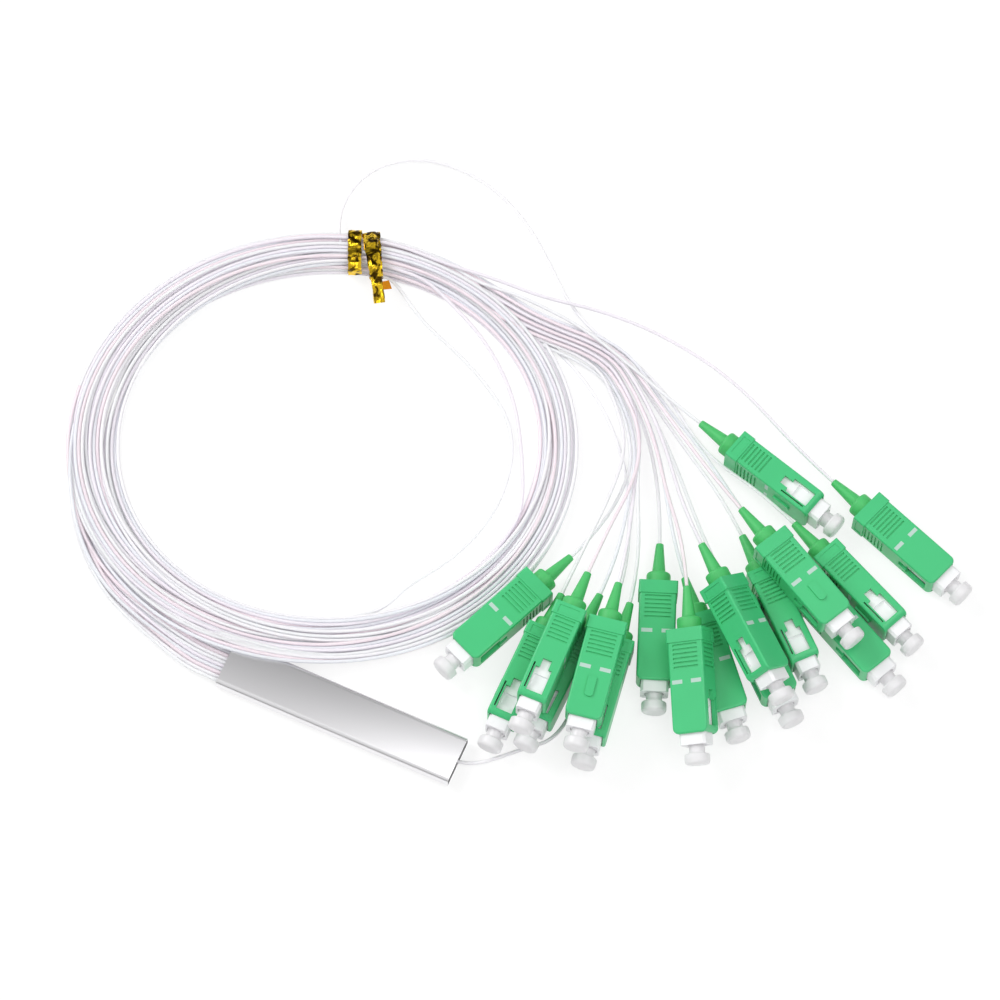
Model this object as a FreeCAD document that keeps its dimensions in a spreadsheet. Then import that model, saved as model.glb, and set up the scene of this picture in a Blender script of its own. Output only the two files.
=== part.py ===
import FreeCAD, Part
import math
import os
import Sketcher
from FreeCAD import Placement, Rotation, Vector

# One-into-sixteen fibre splitter: a flat steel tube, a tied coil of loose-tube fibre and
# seventeen square push-pull connectors, sixteen outputs and the input.
# Millimetres. Origin: bottom centre of the steel tube. +X: towards its input end. +Z: up.

os.makedirs("parts", exist_ok=True)
doc = FreeCAD.newDocument("fibreSplitter")

SIZES = {
    # steel tube and what it houses
    "tubeLength": 60.0,
    "tubeWidth": 12.0,
    "tubeHeight": 4.0,
    "tubeWall": 0.4,
    "tubeCorner": 1.2,
    "plugDepth": 3.0,
    "plugInset": 0.4,
    "plugGap": 0.05,
    "chipLength": 20.0,
    "chipWidth": 4.0,
    "chipHeight": 2.5,
    "inputArrayLength": 4.0,
    "inputArrayWidth": 2.5,
    "outputArrayLength": 5.0,
    "outputArrayWidth": 8.0,
    "bareFibreDiameter": 0.25,
    # loose-tube fibre
    "fibreDiameter": 0.8,
    "fibreBoreGap": 0.1,
    "ribbonWidth": 9.6,
    "ribbonThickness": 1.7,
    # tied coil
    "coilOuterMajor": 60.6,
    "coilOvalness": 5.6,
    "coilWidthAlong": 10.3,
    "coilWidthAcross": 10.4,
    "coilRoomOverlap": 1.0,
    "coilUnderside": 0.35,
    "coilHeight": 5.55,
    "coilTubeGap": 0.3,
    # twist tie
    "tieWidth": 3.6,
    "tieThickness": 0.25,
    "tieGap": 0.3,
    "tieUnderGap": 0.05,
    "tieTailThickness": 0.5,
    # connector grip, sliding on the plug frame
    "gripLength": 24.8,
    "gripWidth": 8.8,
    "gripThickness": 7.2,
    "gripRound": 0.5,
    "gripNose": 1.5,
    "flangeLength": 3.2,
    "flangeStep": 0.25,
    "rearHole": 6.2,
    "gripBackRoom": 2.2,
    "grooveCount": 6,
    "grooveStart": 3.7,
    "groovePitch": 1.05,
    "grooveWidth": 0.45,
    "grooveDepth": 0.3,
    "grooveLength": 6.2,
    "windowStart": 14.6,
    "windowStemLength": 2.3,
    "windowStemWidth": 2.2,
    "windowHeadLength": 6.2,
    "windowHeadWidth": 4.0,
    "slitGap": 0.3,
    "slitWidth": 0.4,
    "slitLead": 0.8,
    "keyStart": 14.9,
    "keyLength": 4.9,
    "keyWidth": 2.0,
    "keyHeight": 0.45,
    "keyTip": 0.4,
    "panelStart": 0.8,
    "panelLength": 2.0,
    "panelHeight": 5.0,
    "panelDepth": 0.15,
    # plug frame
    "frameStart": 6.0,
    "frameLength": 21.4,
    "frameWidth": 6.6,
    "frameThickness": 5.4,
    "frameGap": 0.2,
    "frameChamfer": 0.6,
    "frameBore": 4.4,
    "frameShoulder": 11.0,
    "frameShoulderLength": 1.0,
    "frameThroat": 2.8,
    "frameSocket": 4.6,
    "latchStart": 12.5,
    "latchLength": 3.0,
    "latchWidth": 3.4,
    "latchDepth": 0.5,
    # ferrule, its spring and the stop ring behind them
    "ferruleDiameter": 2.5,
    "ferruleLength": 11.4,
    "ferruleFlange": 4.0,
    "ferruleFlangeLength": 3.4,
    "ferruleSeat": 1.7,
    "springOuter": 4.1,
    "springInner": 3.0,
    "springGap": 0.1,
    "stopSpigot": 4.3,
    "stopSpigotLength": 2.1,
    "stopFlange": 5.6,
    "stopFlangeLength": 4.5,
    "stopRear": 2.9,
    "stopRearLength": 4.0,
    "stopBore": 2.0,
    # boot
    "bootCollar": 5.8,
    "bootCollarLength": 4.1,
    "bootCollarRound": 0.5,
    "bootGap": 0.3,
    "bootConeFront": 3.3,
    "bootConeTip": 1.8,
    "bootConeLength": 7.5,
    "bootSpigotGap": 0.05,
    "fibreInBoot": 2.8,
    "fibreRunBehindBoot": 9.1,
    # dust cap
    "capOuter": 4.2,
    "capFerruleGap": 0.05,
    "capSleeveLength": 7.5,
    "capOverNose": 0.1,
    "capNeck": 3.8,
    "capNeckLength": 1.9,
    "capKnob": 6.0,
    "capKnobLength": 2.6,
    "capKnobRound": 0.8,
    "capNeckFlare": 0.5,
    "capEndGap": 0.6,
    # how the connectors lie
    "stackGap": 0.3,
}

sheet = doc.addObject("Spreadsheet::Sheet", "sizes")
for row, (alias, size) in enumerate(SIZES.items(), start=1):
    sheet.set("A%d" % row, alias)
    sheet.set("B%d" % row, str(size))
    sheet.setAlias("B%d" % row, alias)
doc.recompute()


def value(formula):
    """Number that a formula of sheet values gives."""
    return float(sheet.evalExpression(formula))


def bind(thing, **formulas):
    for name, formula in formulas.items():
        thing.setExpression(name, formula)


def originPlane(body, role):
    return [part for part in body.Origin.OriginFeatures if part.Role == role][0]


# Sketches: every corner is held by two dimensions from the origin, each one a formula.

def outlineSketch(body, name, plane, corners, offset="0"):
    sketch = body.newObject("Sketcher::SketchObject", name)
    sketch.AttachmentSupport = [(originPlane(body, plane), "")]
    sketch.MapMode = "FlatFace"
    sketch.setExpression("AttachmentOffset.Base.z", offset)
    points = [Vector(value(across), value(up), 0) for across, up in corners]
    count = len(points)
    for index in range(count):
        line = Part.LineSegment(points[index], points[(index + 1) % count])
        sketch.addGeometry(line, False)
    for index in range(count):
        sketch.addConstraint(Sketcher.Constraint("Coincident", index, 2, (index + 1) % count, 1))
    for index, (across, up) in enumerate(corners):
        for kind, formula, place in (("X", across, points[index].x), ("Y", up, points[index].y)):
            if abs(place) < 1e-9 and formula.strip() == "0":
                other = -2 if kind == "X" else -1
                sketch.addConstraint(Sketcher.Constraint("PointOnObject", index, 1, other))
                continue
            number = sketch.addConstraint(Sketcher.Constraint("Distance" + kind, -1, 1, index, 1, place))
            sketch.setExpression("Constraints[%d]" % number, formula)
    return sketch


def boxOutline(left, right, low, high):
    return [(left, low), (right, low), (right, high), (left, high)]


def circleSketch(body, name, plane, radius, offset="0"):
    sketch = body.newObject("Sketcher::SketchObject", name)
    sketch.AttachmentSupport = [(originPlane(body, plane), "")]
    sketch.MapMode = "FlatFace"
    sketch.setExpression("AttachmentOffset.Base.z", offset)
    sketch.addGeometry(Part.Circle(Vector(0, 0, 0), Vector(0, 0, 1), value(radius)), False)
    sketch.addConstraint(Sketcher.Constraint("Coincident", 0, 3, -1, 1))
    number = sketch.addConstraint(Sketcher.Constraint("Radius", 0, value(radius)))
    sketch.setExpression("Constraints[%d]" % number, radius)
    return sketch


def pad(body, name, sketch, length):
    feature = body.newObject("PartDesign::Pad", name)
    feature.Profile = sketch
    feature.setExpression("Length", length)
    return feature


def pocket(body, name, sketch, length, backwards=False):
    """Cut that has to take something away."""
    doc.recompute()
    before = body.Shape.Volume
    feature = body.newObject("PartDesign::Pocket", name)
    feature.Profile = sketch
    feature.Reversed = backwards
    feature.setExpression("Length", length)
    doc.recompute()
    assert body.Shape.Volume < before - 1e-6, name + " cuts nothing"
    return feature


def turn(body, name, sketch):
    """Profile turned about the connector's axis."""
    feature = body.newObject("PartDesign::Revolution", name)
    feature.Profile = sketch
    feature.ReferenceAxis = (originPlane(body, "X_Axis"), [""])
    feature.Angle = 360
    return feature


def dress(body, kind, name, feature, wanted, size):
    """Chamfer or fillet on the edges that the test picks."""
    doc.recompute()
    names = ["Edge%d" % (i + 1) for i, edge in enumerate(feature.Shape.Edges) if wanted(edge)]
    assert names, name + " finds no edge"
    dressing = body.newObject("PartDesign::" + kind, name)
    dressing.Base = (feature, names)
    dressing.setExpression("Size" if kind == "Chamfer" else "Radius", size)
    return dressing


def runsAlong(edge, axis):
    if not isinstance(edge.Curve, Part.Line):
        return False
    return abs(abs(edge.Curve.Direction.dot(axis)) - 1) < 1e-6


def newBody(name):
    body = doc.addObject("PartDesign::Body", name)
    body.Label = name
    return body


AXIS = Vector(1, 0, 0)
ACROSS = Vector(0, 1, 0)
UP = Vector(0, 0, 1)
TINY = 1e-6

# Connector pieces. Local +X runs to the ferrule's tip, +Y across the wide side, +Z is the
# key's side, and the origin is on the axis at the grip's rear face.


def makeGrip():
    """Outer push-pull housing: grooved rear, T windows at the sides and a key."""
    body = newBody("gripPattern")
    half = "sizes.gripWidth / 2"
    thick = "sizes.gripThickness / 2"
    shell = outlineSketch(body, "gripPlan", "XY_Plane",
                          boxOutline("0", "sizes.gripLength", "-" + half, half), "-" + thick)
    main = pad(body, "gripMain", shell, "sizes.gripThickness")

    def isNose(edge):
        return runsAlong(edge, UP) and edge.BoundBox.XMin > value("sizes.gripLength") / 2

    nose = dress(body, "Fillet", "gripNoseRound", main, isNose, "sizes.gripNose")

    def isLong(edge):
        return runsAlong(edge, AXIS)

    dress(body, "Fillet", "gripLongEdges", nose, isLong, "sizes.gripRound")
    flangeHalf = "(sizes.gripWidth / 2 + sizes.flangeStep)"
    flangeThick = "(sizes.gripThickness / 2 + sizes.flangeStep)"
    flange = outlineSketch(body, "flangeSection", "YZ_Plane",
                           boxOutline("-" + flangeHalf, flangeHalf, "-" + flangeThick, flangeThick))
    rearRing = pad(body, "flange", flange, "sizes.flangeLength")

    def isFlangeCorner(edge):
        return runsAlong(edge, AXIS) and abs(edge.BoundBox.Center.y) > value(flangeHalf) - TINY

    dress(body, "Fillet", "flangeCorners", rearRing, isFlangeCorner, "sizes.gripRound")

    # raised key on the wide side, round at the end towards the ferrule
    keySide = "(sizes.keyWidth / 2)"
    key = outlineSketch(body, "keyPlan", "XY_Plane",
                        boxOutline("sizes.keyStart", "sizes.keyStart + sizes.keyLength",
                                   "-" + keySide, keySide), "%s - sizes.gripRound" % thick)
    raised = pad(body, "key", key, "sizes.keyHeight + sizes.gripRound")

    def isKeyEnd(edge):
        return (runsAlong(edge, UP) and edge.BoundBox.ZMax > value(thick) + TINY
                and edge.BoundBox.XMin > value("sizes.keyStart + sizes.keyLength") - TINY)

    dress(body, "Fillet", "keyRound", raised, isKeyEnd, "sizes.keyWidth / 2 - sizes.keyTip / 2")

    # room for the plug frame from the front, then the hole for the boot's collar
    roomWide = "(sizes.frameWidth / 2 + sizes.frameGap)"
    roomThick = "(sizes.frameThickness / 2 + sizes.frameGap)"
    room = outlineSketch(body, "roomSection", "YZ_Plane",
                         boxOutline("-" + roomWide, roomWide, "-" + roomThick, roomThick),
                         "sizes.gripLength")
    pocket(body, "room", room, "sizes.gripLength - sizes.frameStart + sizes.gripBackRoom")
    rear = circleSketch(body, "rearHoleSection", "YZ_Plane", "sizes.rearHole / 2")
    pocket(body, "rearHolePocket", rear, "sizes.frameStart", True)

    # T window through both narrow sides, with a slit beside it on the key's side
    stemEnd = "(sizes.windowStart + sizes.windowStemLength)"
    headEnd = "(%s + sizes.windowHeadLength)" % stemEnd
    stem = "sizes.windowStemWidth / 2"
    head = "sizes.windowHeadWidth / 2"
    window = outlineSketch(body, "windowOutline", "XZ_Plane", [
        ("sizes.windowStart", "-" + stem), (stemEnd, "-" + stem), (stemEnd, "-" + head),
        (headEnd, "-" + head), (headEnd, head), (stemEnd, head), (stemEnd, stem),
        ("sizes.windowStart", stem),
    ], "-sizes.gripWidth")
    pocket(body, "windows", window, "sizes.gripWidth * 2", True)
    slitLow = "(%s + sizes.slitGap)" % head
    slit = outlineSketch(body, "slitOutline", "XZ_Plane",
                         boxOutline(stemEnd + " - sizes.slitLead", headEnd + " - sizes.slitLead / 2",
                                    slitLow, slitLow + " + sizes.slitWidth"), "-sizes.gripWidth")
    pocket(body, "slits", slit, "sizes.gripWidth * 2", True)

    # finger grooves, the same number on all four sides
    doc.recompute()
    before = body.Shape.Volume
    grooves = []
    grooveEnd = "(sizes.grooveStart + sizes.grooveWidth)"
    reach = "sizes.grooveLength / 2"
    for side, plane, surface in (("Wide", "XY_Plane", thick), ("Narrow", "XZ_Plane", half)):
        span = reach if side == "Wide" else "(%s - sizes.grooveDepth * 2)" % reach
        for face, sign in (("A", 1), ("B", -1)):
            place = "%s - sizes.grooveDepth" % surface
            if sign < 0:
                place = "-(%s) " % surface
            groove = outlineSketch(body, "groove%s%s" % (side, face), plane,
                                   boxOutline("sizes.grooveStart", grooveEnd, "-" + span, span), place)
            cut = pocket(body, "grooveCut%s%s" % (side, face), groove, "sizes.grooveDepth", True)
            grooves.append(cut)
    rowOfGrooves = body.newObject("PartDesign::LinearPattern", "grooveRow")
    rowOfGrooves.Originals = grooves
    rowOfGrooves.Direction = (originPlane(body, "X_Axis"), [""])
    rowOfGrooves.Mode = "Spacing"
    rowOfGrooves.setExpression("Offset", "sizes.groovePitch")
    rowOfGrooves.setExpression("Occurrences", "sizes.grooveCount")
    body.Tip = rowOfGrooves
    doc.recompute()
    assert body.Shape.Volume < before, "grooves cut nothing"

    # plain sunk panels on the flange's narrow sides
    panelEnd = "(sizes.panelStart + sizes.panelLength)"
    for face, place in (("A", flangeHalf + " - sizes.panelDepth"), ("B", "-" + flangeHalf)):
        panel = outlineSketch(body, "panel" + face, "XZ_Plane",
                              boxOutline("sizes.panelStart", panelEnd,
                                         "-sizes.panelHeight / 2", "sizes.panelHeight / 2"), place)
        pocket(body, "panelCut" + face, panel, "sizes.panelDepth", True)
    return body


def makeFrame():
    """Inner plug frame: latch hollows at the sides, bore for the spring, socket for the cap."""
    body = newBody("framePattern")
    wide = "sizes.frameWidth / 2"
    thick = "sizes.frameThickness / 2"
    section = outlineSketch(body, "frameSection", "YZ_Plane",
                            boxOutline("-" + wide, wide, "-" + thick, thick), "sizes.frameStart")
    main = pad(body, "frameMain", section, "sizes.frameLength")
    dress(body, "Chamfer", "frameLongEdges", main, lambda edge: runsAlong(edge, AXIS),
          "sizes.frameChamfer")
    shoulder = "sizes.frameShoulder"
    bore = circleSketch(body, "boreSection", "YZ_Plane", "sizes.frameBore / 2", "sizes.frameStart")
    pocket(body, "bore", bore, shoulder, True)
    throat = circleSketch(body, "throatSection", "YZ_Plane", "sizes.frameThroat / 2",
                          "sizes.frameStart")
    pocket(body, "throat", throat, "sizes.frameLength", True)
    socket = circleSketch(body, "socketSection", "YZ_Plane", "sizes.frameSocket / 2",
                          "sizes.frameStart + sizes.frameLength")
    pocket(body, "socket", socket,
           "sizes.frameLength - %s - sizes.frameShoulderLength" % shoulder)
    latch = "(sizes.frameStart + sizes.latchStart)"
    for face, place in (("A", wide + " - sizes.latchDepth"), ("B", "-(%s)" % wide)):
        hollow = outlineSketch(body, "latch" + face, "XZ_Plane",
                               boxOutline(latch, latch + " + sizes.latchLength",
                                          "-sizes.latchWidth / 2", "sizes.latchWidth / 2"), place)
        pocket(body, "latchCut" + face, hollow, "sizes.latchDepth", True)
    return body


def turnedPiece(name, corners):
    """Body turned from a half section whose corners are (along, radius)."""
    body = newBody(name)
    sketch = outlineSketch(body, name + "Half", "XZ_Plane", corners)
    turn(body, name + "Turned", sketch)
    doc.recompute()
    return body


SHOULDER = "(sizes.frameStart + sizes.frameShoulder)"
FERRULE_REAR = "(%s - sizes.ferruleFlangeLength)" % SHOULDER
FERRULE_TIP = "(%s + sizes.ferruleLength - sizes.ferruleSeat)" % SHOULDER
STOP_FRONT = "(sizes.frameStart + sizes.stopSpigotLength)"
STOP_REAR = "(sizes.frameStart - sizes.stopFlangeLength)"
NOSE = "(sizes.frameStart + sizes.frameLength)"


def makeFerrule():
    barrel = "sizes.ferruleDiameter / 2"
    flange = "sizes.ferruleFlange / 2"
    return turnedPiece("ferrulePattern", [
        (FERRULE_REAR, "0"), (FERRULE_TIP, "0"), (FERRULE_TIP, barrel),
        (SHOULDER, barrel), (SHOULDER, flange), (FERRULE_REAR, flange)])


def makeSpring():
    """Plain sleeve in the place of the ferrule's coil spring."""
    front = FERRULE_REAR + " - sizes.springGap"
    back = STOP_FRONT + " + sizes.springGap"
    return turnedPiece("springPattern", [
        (back, "sizes.springInner / 2"), (front, "sizes.springInner / 2"),
        (front, "sizes.springOuter / 2"), (back, "sizes.springOuter / 2")])


def makeStopRing():
    rear = STOP_REAR + " - sizes.stopRearLength"
    bore = "sizes.stopBore / 2"
    return turnedPiece("stopRingPattern", [
        (rear, bore), (STOP_FRONT, bore), (STOP_FRONT, "sizes.stopSpigot / 2"),
        ("sizes.frameStart", "sizes.stopSpigot / 2"), ("sizes.frameStart", "sizes.stopFlange / 2"),
        (STOP_REAR, "sizes.stopFlange / 2"), (STOP_REAR, "sizes.stopRear / 2"),
        (rear, "sizes.stopRear / 2")])


COLLAR_FRONT = "(%s - sizes.bootGap)" % STOP_REAR
COLLAR_REAR = "(%s - sizes.bootCollarLength)" % COLLAR_FRONT
BOOT_TIP = "(%s - sizes.bootConeLength)" % COLLAR_REAR
FIBRE_END = "(%s + sizes.fibreInBoot)" % BOOT_TIP


def makeBoot():
    """Soft strain relief: collar on the stop ring's rear spigot, then a slim cone."""
    spigot = "(sizes.stopRear / 2 + sizes.bootSpigotGap)"
    seat = "(%s - sizes.stopRearLength - sizes.bootSpigotGap * 2)" % STOP_REAR
    hole = "(sizes.fibreDiameter / 2 + sizes.fibreBoreGap)"
    collar = "sizes.bootCollar / 2"
    cut = "sizes.bootCollarRound"
    return turnedPiece("bootPattern", [
        (BOOT_TIP, hole), (seat, hole), (seat, spigot), (COLLAR_FRONT, spigot),
        (COLLAR_FRONT, collar), (COLLAR_REAR + " + " + cut, collar),
        (COLLAR_REAR, collar + " - " + cut), (COLLAR_REAR, "sizes.bootConeFront / 2"),
        (BOOT_TIP, "sizes.bootConeTip / 2")])


def makeDustCap():
    """Cap over the ferrule: sleeve inside the plug frame, slim neck and round knob."""
    bore = "(sizes.ferruleDiameter / 2 + sizes.capFerruleGap)"
    sleeveEnd = "(%s + sizes.capOverNose)" % NOSE
    sleeveStart = "(%s - sizes.capSleeveLength)" % sleeveEnd
    boreEnd = "(%s + sizes.capEndGap)" % FERRULE_TIP
    neckEnd = "(%s + sizes.capNeckLength)" % sleeveEnd
    knobEnd = "(%s + sizes.capKnobLength)" % neckEnd
    knob = "sizes.capKnob / 2"
    edge = "sizes.capKnobRound"
    return turnedPiece("dustCapPattern", [
        (sleeveStart, bore), (boreEnd, bore), (boreEnd, "0"), (knobEnd, "0"),
        (knobEnd, knob + " - " + edge), (knobEnd + " - " + edge, knob),
        (neckEnd + " + " + edge, knob), (neckEnd, knob + " - " + edge),
        (neckEnd, "sizes.capNeck / 2 + sizes.capNeckFlare"),
        (neckEnd + " - sizes.capNeckFlare", "sizes.capNeck / 2"), (sleeveEnd, "sizes.capNeck / 2"),
        (sleeveEnd, "sizes.capOuter / 2"), (sleeveStart, "sizes.capOuter / 2")])


# How each connector lies: x, y, yaw, pitch, roll and the way it rests. Key down: flat with the
# key under it. Edge: on a narrow side. Upper: across the ones on the surface, with its lift.
CONNECTORS = [
    (29.9, 47.6, -113.0, 0.0, 180.0, "keyDown", 0.0),
    (35.7, 37.0, -90.4, 0.0, 90.0, "edge", 0.0),
    (40.8, 41.2, -88.7, 0.0, 90.0, "upperEdge", 0.0),
    (43.9, 40.6, -91.5, 0.0, 90.0, "edge", 0.0),
    (49.8, 42.2, -80.5, 0.0, 0.0, "upperFlat", 0.0),
    (53.0, 41.6, -82.0, 0.0, 90.0, "edge", 0.0),
    (55.8, 59.0, -68.8, 0.0, 180.0, "keyDown", 0.0),
    (67.9, 48.6, -63.0, 9.9, 207.0, "upperFlat", -0.1),
    (67.6, 55.4, -49.2, 0.0, 180.0, "keyDown", 0.0),
    (70.3, 61.8, -39.6, 4.4, 137.0, "upperEdge", 1.25),
    (74.9, 61.6, -42.2, 0.0, 180.0, "keyDown", 0.0),
    (76.9, 71.5, -42.3, 0.0, 90.0, "edge", 0.0),
    (76.4, 76.5, -27.5, 1.5, 0.0, "upperFlat", 0.15),
    (89.3, 72.2, -26.7, 0.0, 180.0, "keyDown", 0.0),
    (88.8, 82.1, -24.5, 0.0, 90.0, "edge", 0.0),
    (93.6, 96.8, -20.0, 0.0, 180.0, "keyDown", 0.0),
    (58.8, 98.3, -16.0, 0.0, 90.0, "edge", 0.0),
]


def restHeight(way):
    """Height of a connector's axis above the surface."""
    flat = value("sizes.gripThickness / 2 + sizes.keyHeight")
    flangeFlat = value("sizes.gripThickness / 2 + sizes.flangeStep")
    edge = value("sizes.gripWidth / 2 + sizes.flangeStep")
    gap = value("sizes.stackGap")
    heights = {
        "keyDown": max(flat, flangeFlat),
        "edge": edge,
        "upperFlat": 2 * edge + gap + flangeFlat,
        "upperEdge": 3 * edge + gap,
    }
    return heights[way]


def seatOf(number):
    x, y, yaw, pitch, roll, way, lift = CONNECTORS[number - 1]
    return Placement(Vector(x, y, restHeight(way) + lift), Rotation(yaw, pitch, roll))


def placedCopy(pattern, name, seat):
    copy = doc.addObject("Part::Compound", name)
    copy.Links = [pattern]
    copy.Placement = seat
    copy.Label = name
    return copy


nodes = []


def keep(thing, name):
    """Sub-part that is written to a file of its own."""
    thing.Label = name
    nodes.append(thing)
    return thing


def group(name, members):
    together = doc.addObject("Part::Compound", name)
    together.Links = members
    return keep(together, name)


def placeConnectors():
    patterns = {
        "plug_frame": makeFrame(),
        "ferrule": makeFerrule(),
        "spring": makeSpring(),
        "stop_ring": makeStopRing(),
        "boot": makeBoot(),
    }
    grip = makeGrip()
    cap = makeDustCap()
    numbers = range(1, len(CONNECTORS) + 1)
    for number in numbers:
        seat = seatOf(number)
        keep(placedCopy(grip, "grip_%02d" % number, seat), "grip_%02d" % number)
        keep(placedCopy(cap, "dust_cap_%02d" % number, seat), "dust_cap_%02d" % number)
    for name, pattern in patterns.items():
        copies = [placedCopy(pattern, "%s_%02d" % (name, n), seatOf(n)) for n in numbers]
        group(name + "s", copies)


# Steel tube and what lies in it.

def makeTube():
    """Flat tube with round corners, open at both ends."""
    body = newBody("steel_tube")
    wide = "sizes.tubeWidth / 2"
    start = "-sizes.tubeLength / 2"
    section = outlineSketch(body, "tubeSection", "YZ_Plane",
                            boxOutline("-" + wide, wide, "0", "sizes.tubeHeight"), start)
    pad(body, "tubeMain", section, "sizes.tubeLength")
    inner = "(sizes.tubeWidth / 2 - sizes.tubeWall)"
    hollow = outlineSketch(body, "hollowSection", "YZ_Plane",
                           boxOutline("-" + inner, inner, "sizes.tubeWall",
                                      "sizes.tubeHeight - sizes.tubeWall"), start)
    hole = pocket(body, "hollow", hollow, "sizes.tubeLength", True)

    def isOuter(edge):
        return runsAlong(edge, AXIS) and abs(edge.BoundBox.Center.y) > value(wide) - TINY

    rounded = dress(body, "Fillet", "outerCorners", hole, isOuter, "sizes.tubeCorner")

    def isInner(edge):
        low = value("sizes.tubeWall")
        high = value("sizes.tubeHeight - sizes.tubeWall")
        height = edge.BoundBox.Center.z
        atSide = abs(abs(edge.BoundBox.Center.y) - value(inner)) < TINY
        atFloorOrRoof = min(abs(height - low), abs(height - high)) < TINY
        return runsAlong(edge, AXIS) and atSide and atFloorOrRoof

    dress(body, "Fillet", "innerCorners", rounded, isInner, "sizes.tubeCorner - sizes.tubeWall")
    return keep(body, "steel_tube")


def boxAt(name, length, width, height, x, z):
    """Block centred across the tube."""
    block = doc.addObject("Part::Box", name)
    bind(block, Length=length, Width=width, Height=height)
    block.setExpression("Placement.Base.x", x)
    block.setExpression("Placement.Base.y", "-(%s) / 2" % width)
    block.setExpression("Placement.Base.z", z)
    return block


def rodAt(name, radius, length, x, y, z):
    """Rod along the tube."""
    rod = doc.addObject("Part::Cylinder", name)
    bind(rod, Radius=radius, Height=length)
    rod.Placement = Placement(Vector(0, 0, 0), Rotation(UP, AXIS))
    rod.setExpression("Placement.Base.x", x)
    rod.setExpression("Placement.Base.y", y)
    rod.setExpression("Placement.Base.z", z)
    return rod


def cutFrom(name, base, tools):
    for number, tool in enumerate(tools):
        cut = doc.addObject("Part::Cut", "%s_%d" % (name, number))
        cut.Base = base
        cut.Tool = tool
        base = cut
    return base


FLOOR = "sizes.tubeWall"
FIBRE_LEVEL = "(sizes.tubeWall + sizes.chipHeight / 2)"
PLUG_IN = "(sizes.tubeLength / 2 - sizes.plugInset)"


def endPlug(name, side, cutter):
    """Black filling of the tube's end, set in a little, with the fibre's way through it."""
    inner = "(sizes.tubeWidth - sizes.tubeWall * 2 - sizes.plugGap * 2)"
    tall = "(sizes.tubeHeight - sizes.tubeWall * 2 - sizes.plugGap)"
    x = "%s - sizes.plugDepth" % PLUG_IN if side > 0 else "-%s" % PLUG_IN
    block = boxAt(name + "_block", "sizes.plugDepth", inner, tall, x, FLOOR)
    doc.recompute()
    rounded = doc.addObject("Part::Fillet", name + "_round")
    rounded.Base = block
    size = value("sizes.tubeCorner - sizes.tubeWall + sizes.plugGap")
    picked = [(i + 1, size, size) for i, edge in enumerate(block.Shape.Edges) if runsAlong(edge, AXIS)]
    rounded.Edges = picked
    return keep(cutFrom(name, rounded, [cutter]), name)


def makeInside():
    chip = boxAt("plc_chip", "sizes.chipLength", "sizes.chipWidth", "sizes.chipHeight",
                 "-sizes.chipLength / 2", FLOOR)
    keep(chip, "plc_chip")
    block = boxAt("inputBlock", "sizes.inputArrayLength", "sizes.inputArrayWidth",
                  "sizes.chipHeight", "sizes.chipLength / 2", FLOOR)
    blockEnd = "(sizes.chipLength / 2 + sizes.inputArrayLength)"
    bare = rodAt("inputBareFibre", "sizes.bareFibreDiameter / 2",
                 "%s - sizes.plugDepth - %s" % (PLUG_IN, blockEnd), blockEnd, "0", FIBRE_LEVEL)
    group("input_fibre_array", [fused("inputBlockAndFibre", [block, bare])])
    wide = boxAt("outputBlock", "sizes.outputArrayLength", "sizes.outputArrayWidth",
                 "sizes.chipHeight", "-sizes.chipLength / 2 - sizes.outputArrayLength", FLOOR)
    ribbonStart = "(sizes.chipLength / 2 + sizes.outputArrayLength)"
    bareRibbon = boxAt("outputBareRibbon", "%s - sizes.plugDepth - %s" % (PLUG_IN, ribbonStart),
                       "sizes.outputArrayWidth", "sizes.bareFibreDiameter",
                       "-%s + sizes.plugDepth" % PLUG_IN,
                       "%s - sizes.bareFibreDiameter / 2" % FIBRE_LEVEL)
    group("output_fibre_array", [fused("outputBlockAndRibbon", [wide, bareRibbon])])
    room = "(sizes.fibreDiameter / 2 + sizes.fibreBoreGap)"
    way = rodAt("inputWay", room, "sizes.plugDepth * 3", "%s - sizes.plugDepth * 2" % PLUG_IN,
                "0", FIBRE_LEVEL)
    endPlug("input_end_plug", 1, way)
    slot = boxAt("outputWay", "sizes.plugDepth * 3",
                 "sizes.ribbonWidth + sizes.fibreBoreGap * 2",
                 "sizes.ribbonThickness + sizes.fibreBoreGap * 2",
                 "-%s - sizes.plugDepth" % PLUG_IN,
                 "%s - sizes.ribbonThickness / 2 - sizes.fibreBoreGap" % FIBRE_LEVEL)
    endPlug("output_end_plug", -1, slot)


def fused(name, members):
    together = doc.addObject("Part::MultiFuse", name)
    together.Shapes = members
    return together


# Tied coil: the room between two ovals, kept clear of the tube's far corner.
OVAL_TURN = 24.0
OUTER_CENTRE = Vector(-32.7, 59.8, 0)
INNER_CENTRE = Vector(-31.3, 62.2, 0)
OUTER_MAJOR = "sizes.coilOuterMajor"
OUTER_MINOR = "(sizes.coilOuterMajor - sizes.coilOvalness)"
INNER_MAJOR = "(sizes.coilOuterMajor - sizes.coilWidthAlong)"
INNER_MINOR = "(sizes.coilOuterMajor - sizes.coilOvalness - sizes.coilWidthAcross)"


def oval(name, centre, major, minor, low, height):
    curve = doc.addObject("Part::Ellipse", name + "Curve")
    bind(curve, MajorRadius=major, MinorRadius=minor)
    curve.Placement = Placement(centre, Rotation(UP, OVAL_TURN))
    curve.setExpression("Placement.Base.z", low)
    block = doc.addObject("Part::Extrusion", name)
    block.Base = curve
    block.DirMode = "Custom"
    block.Dir = UP
    block.Solid = True
    block.setExpression("LengthFwd", height)
    return block


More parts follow.
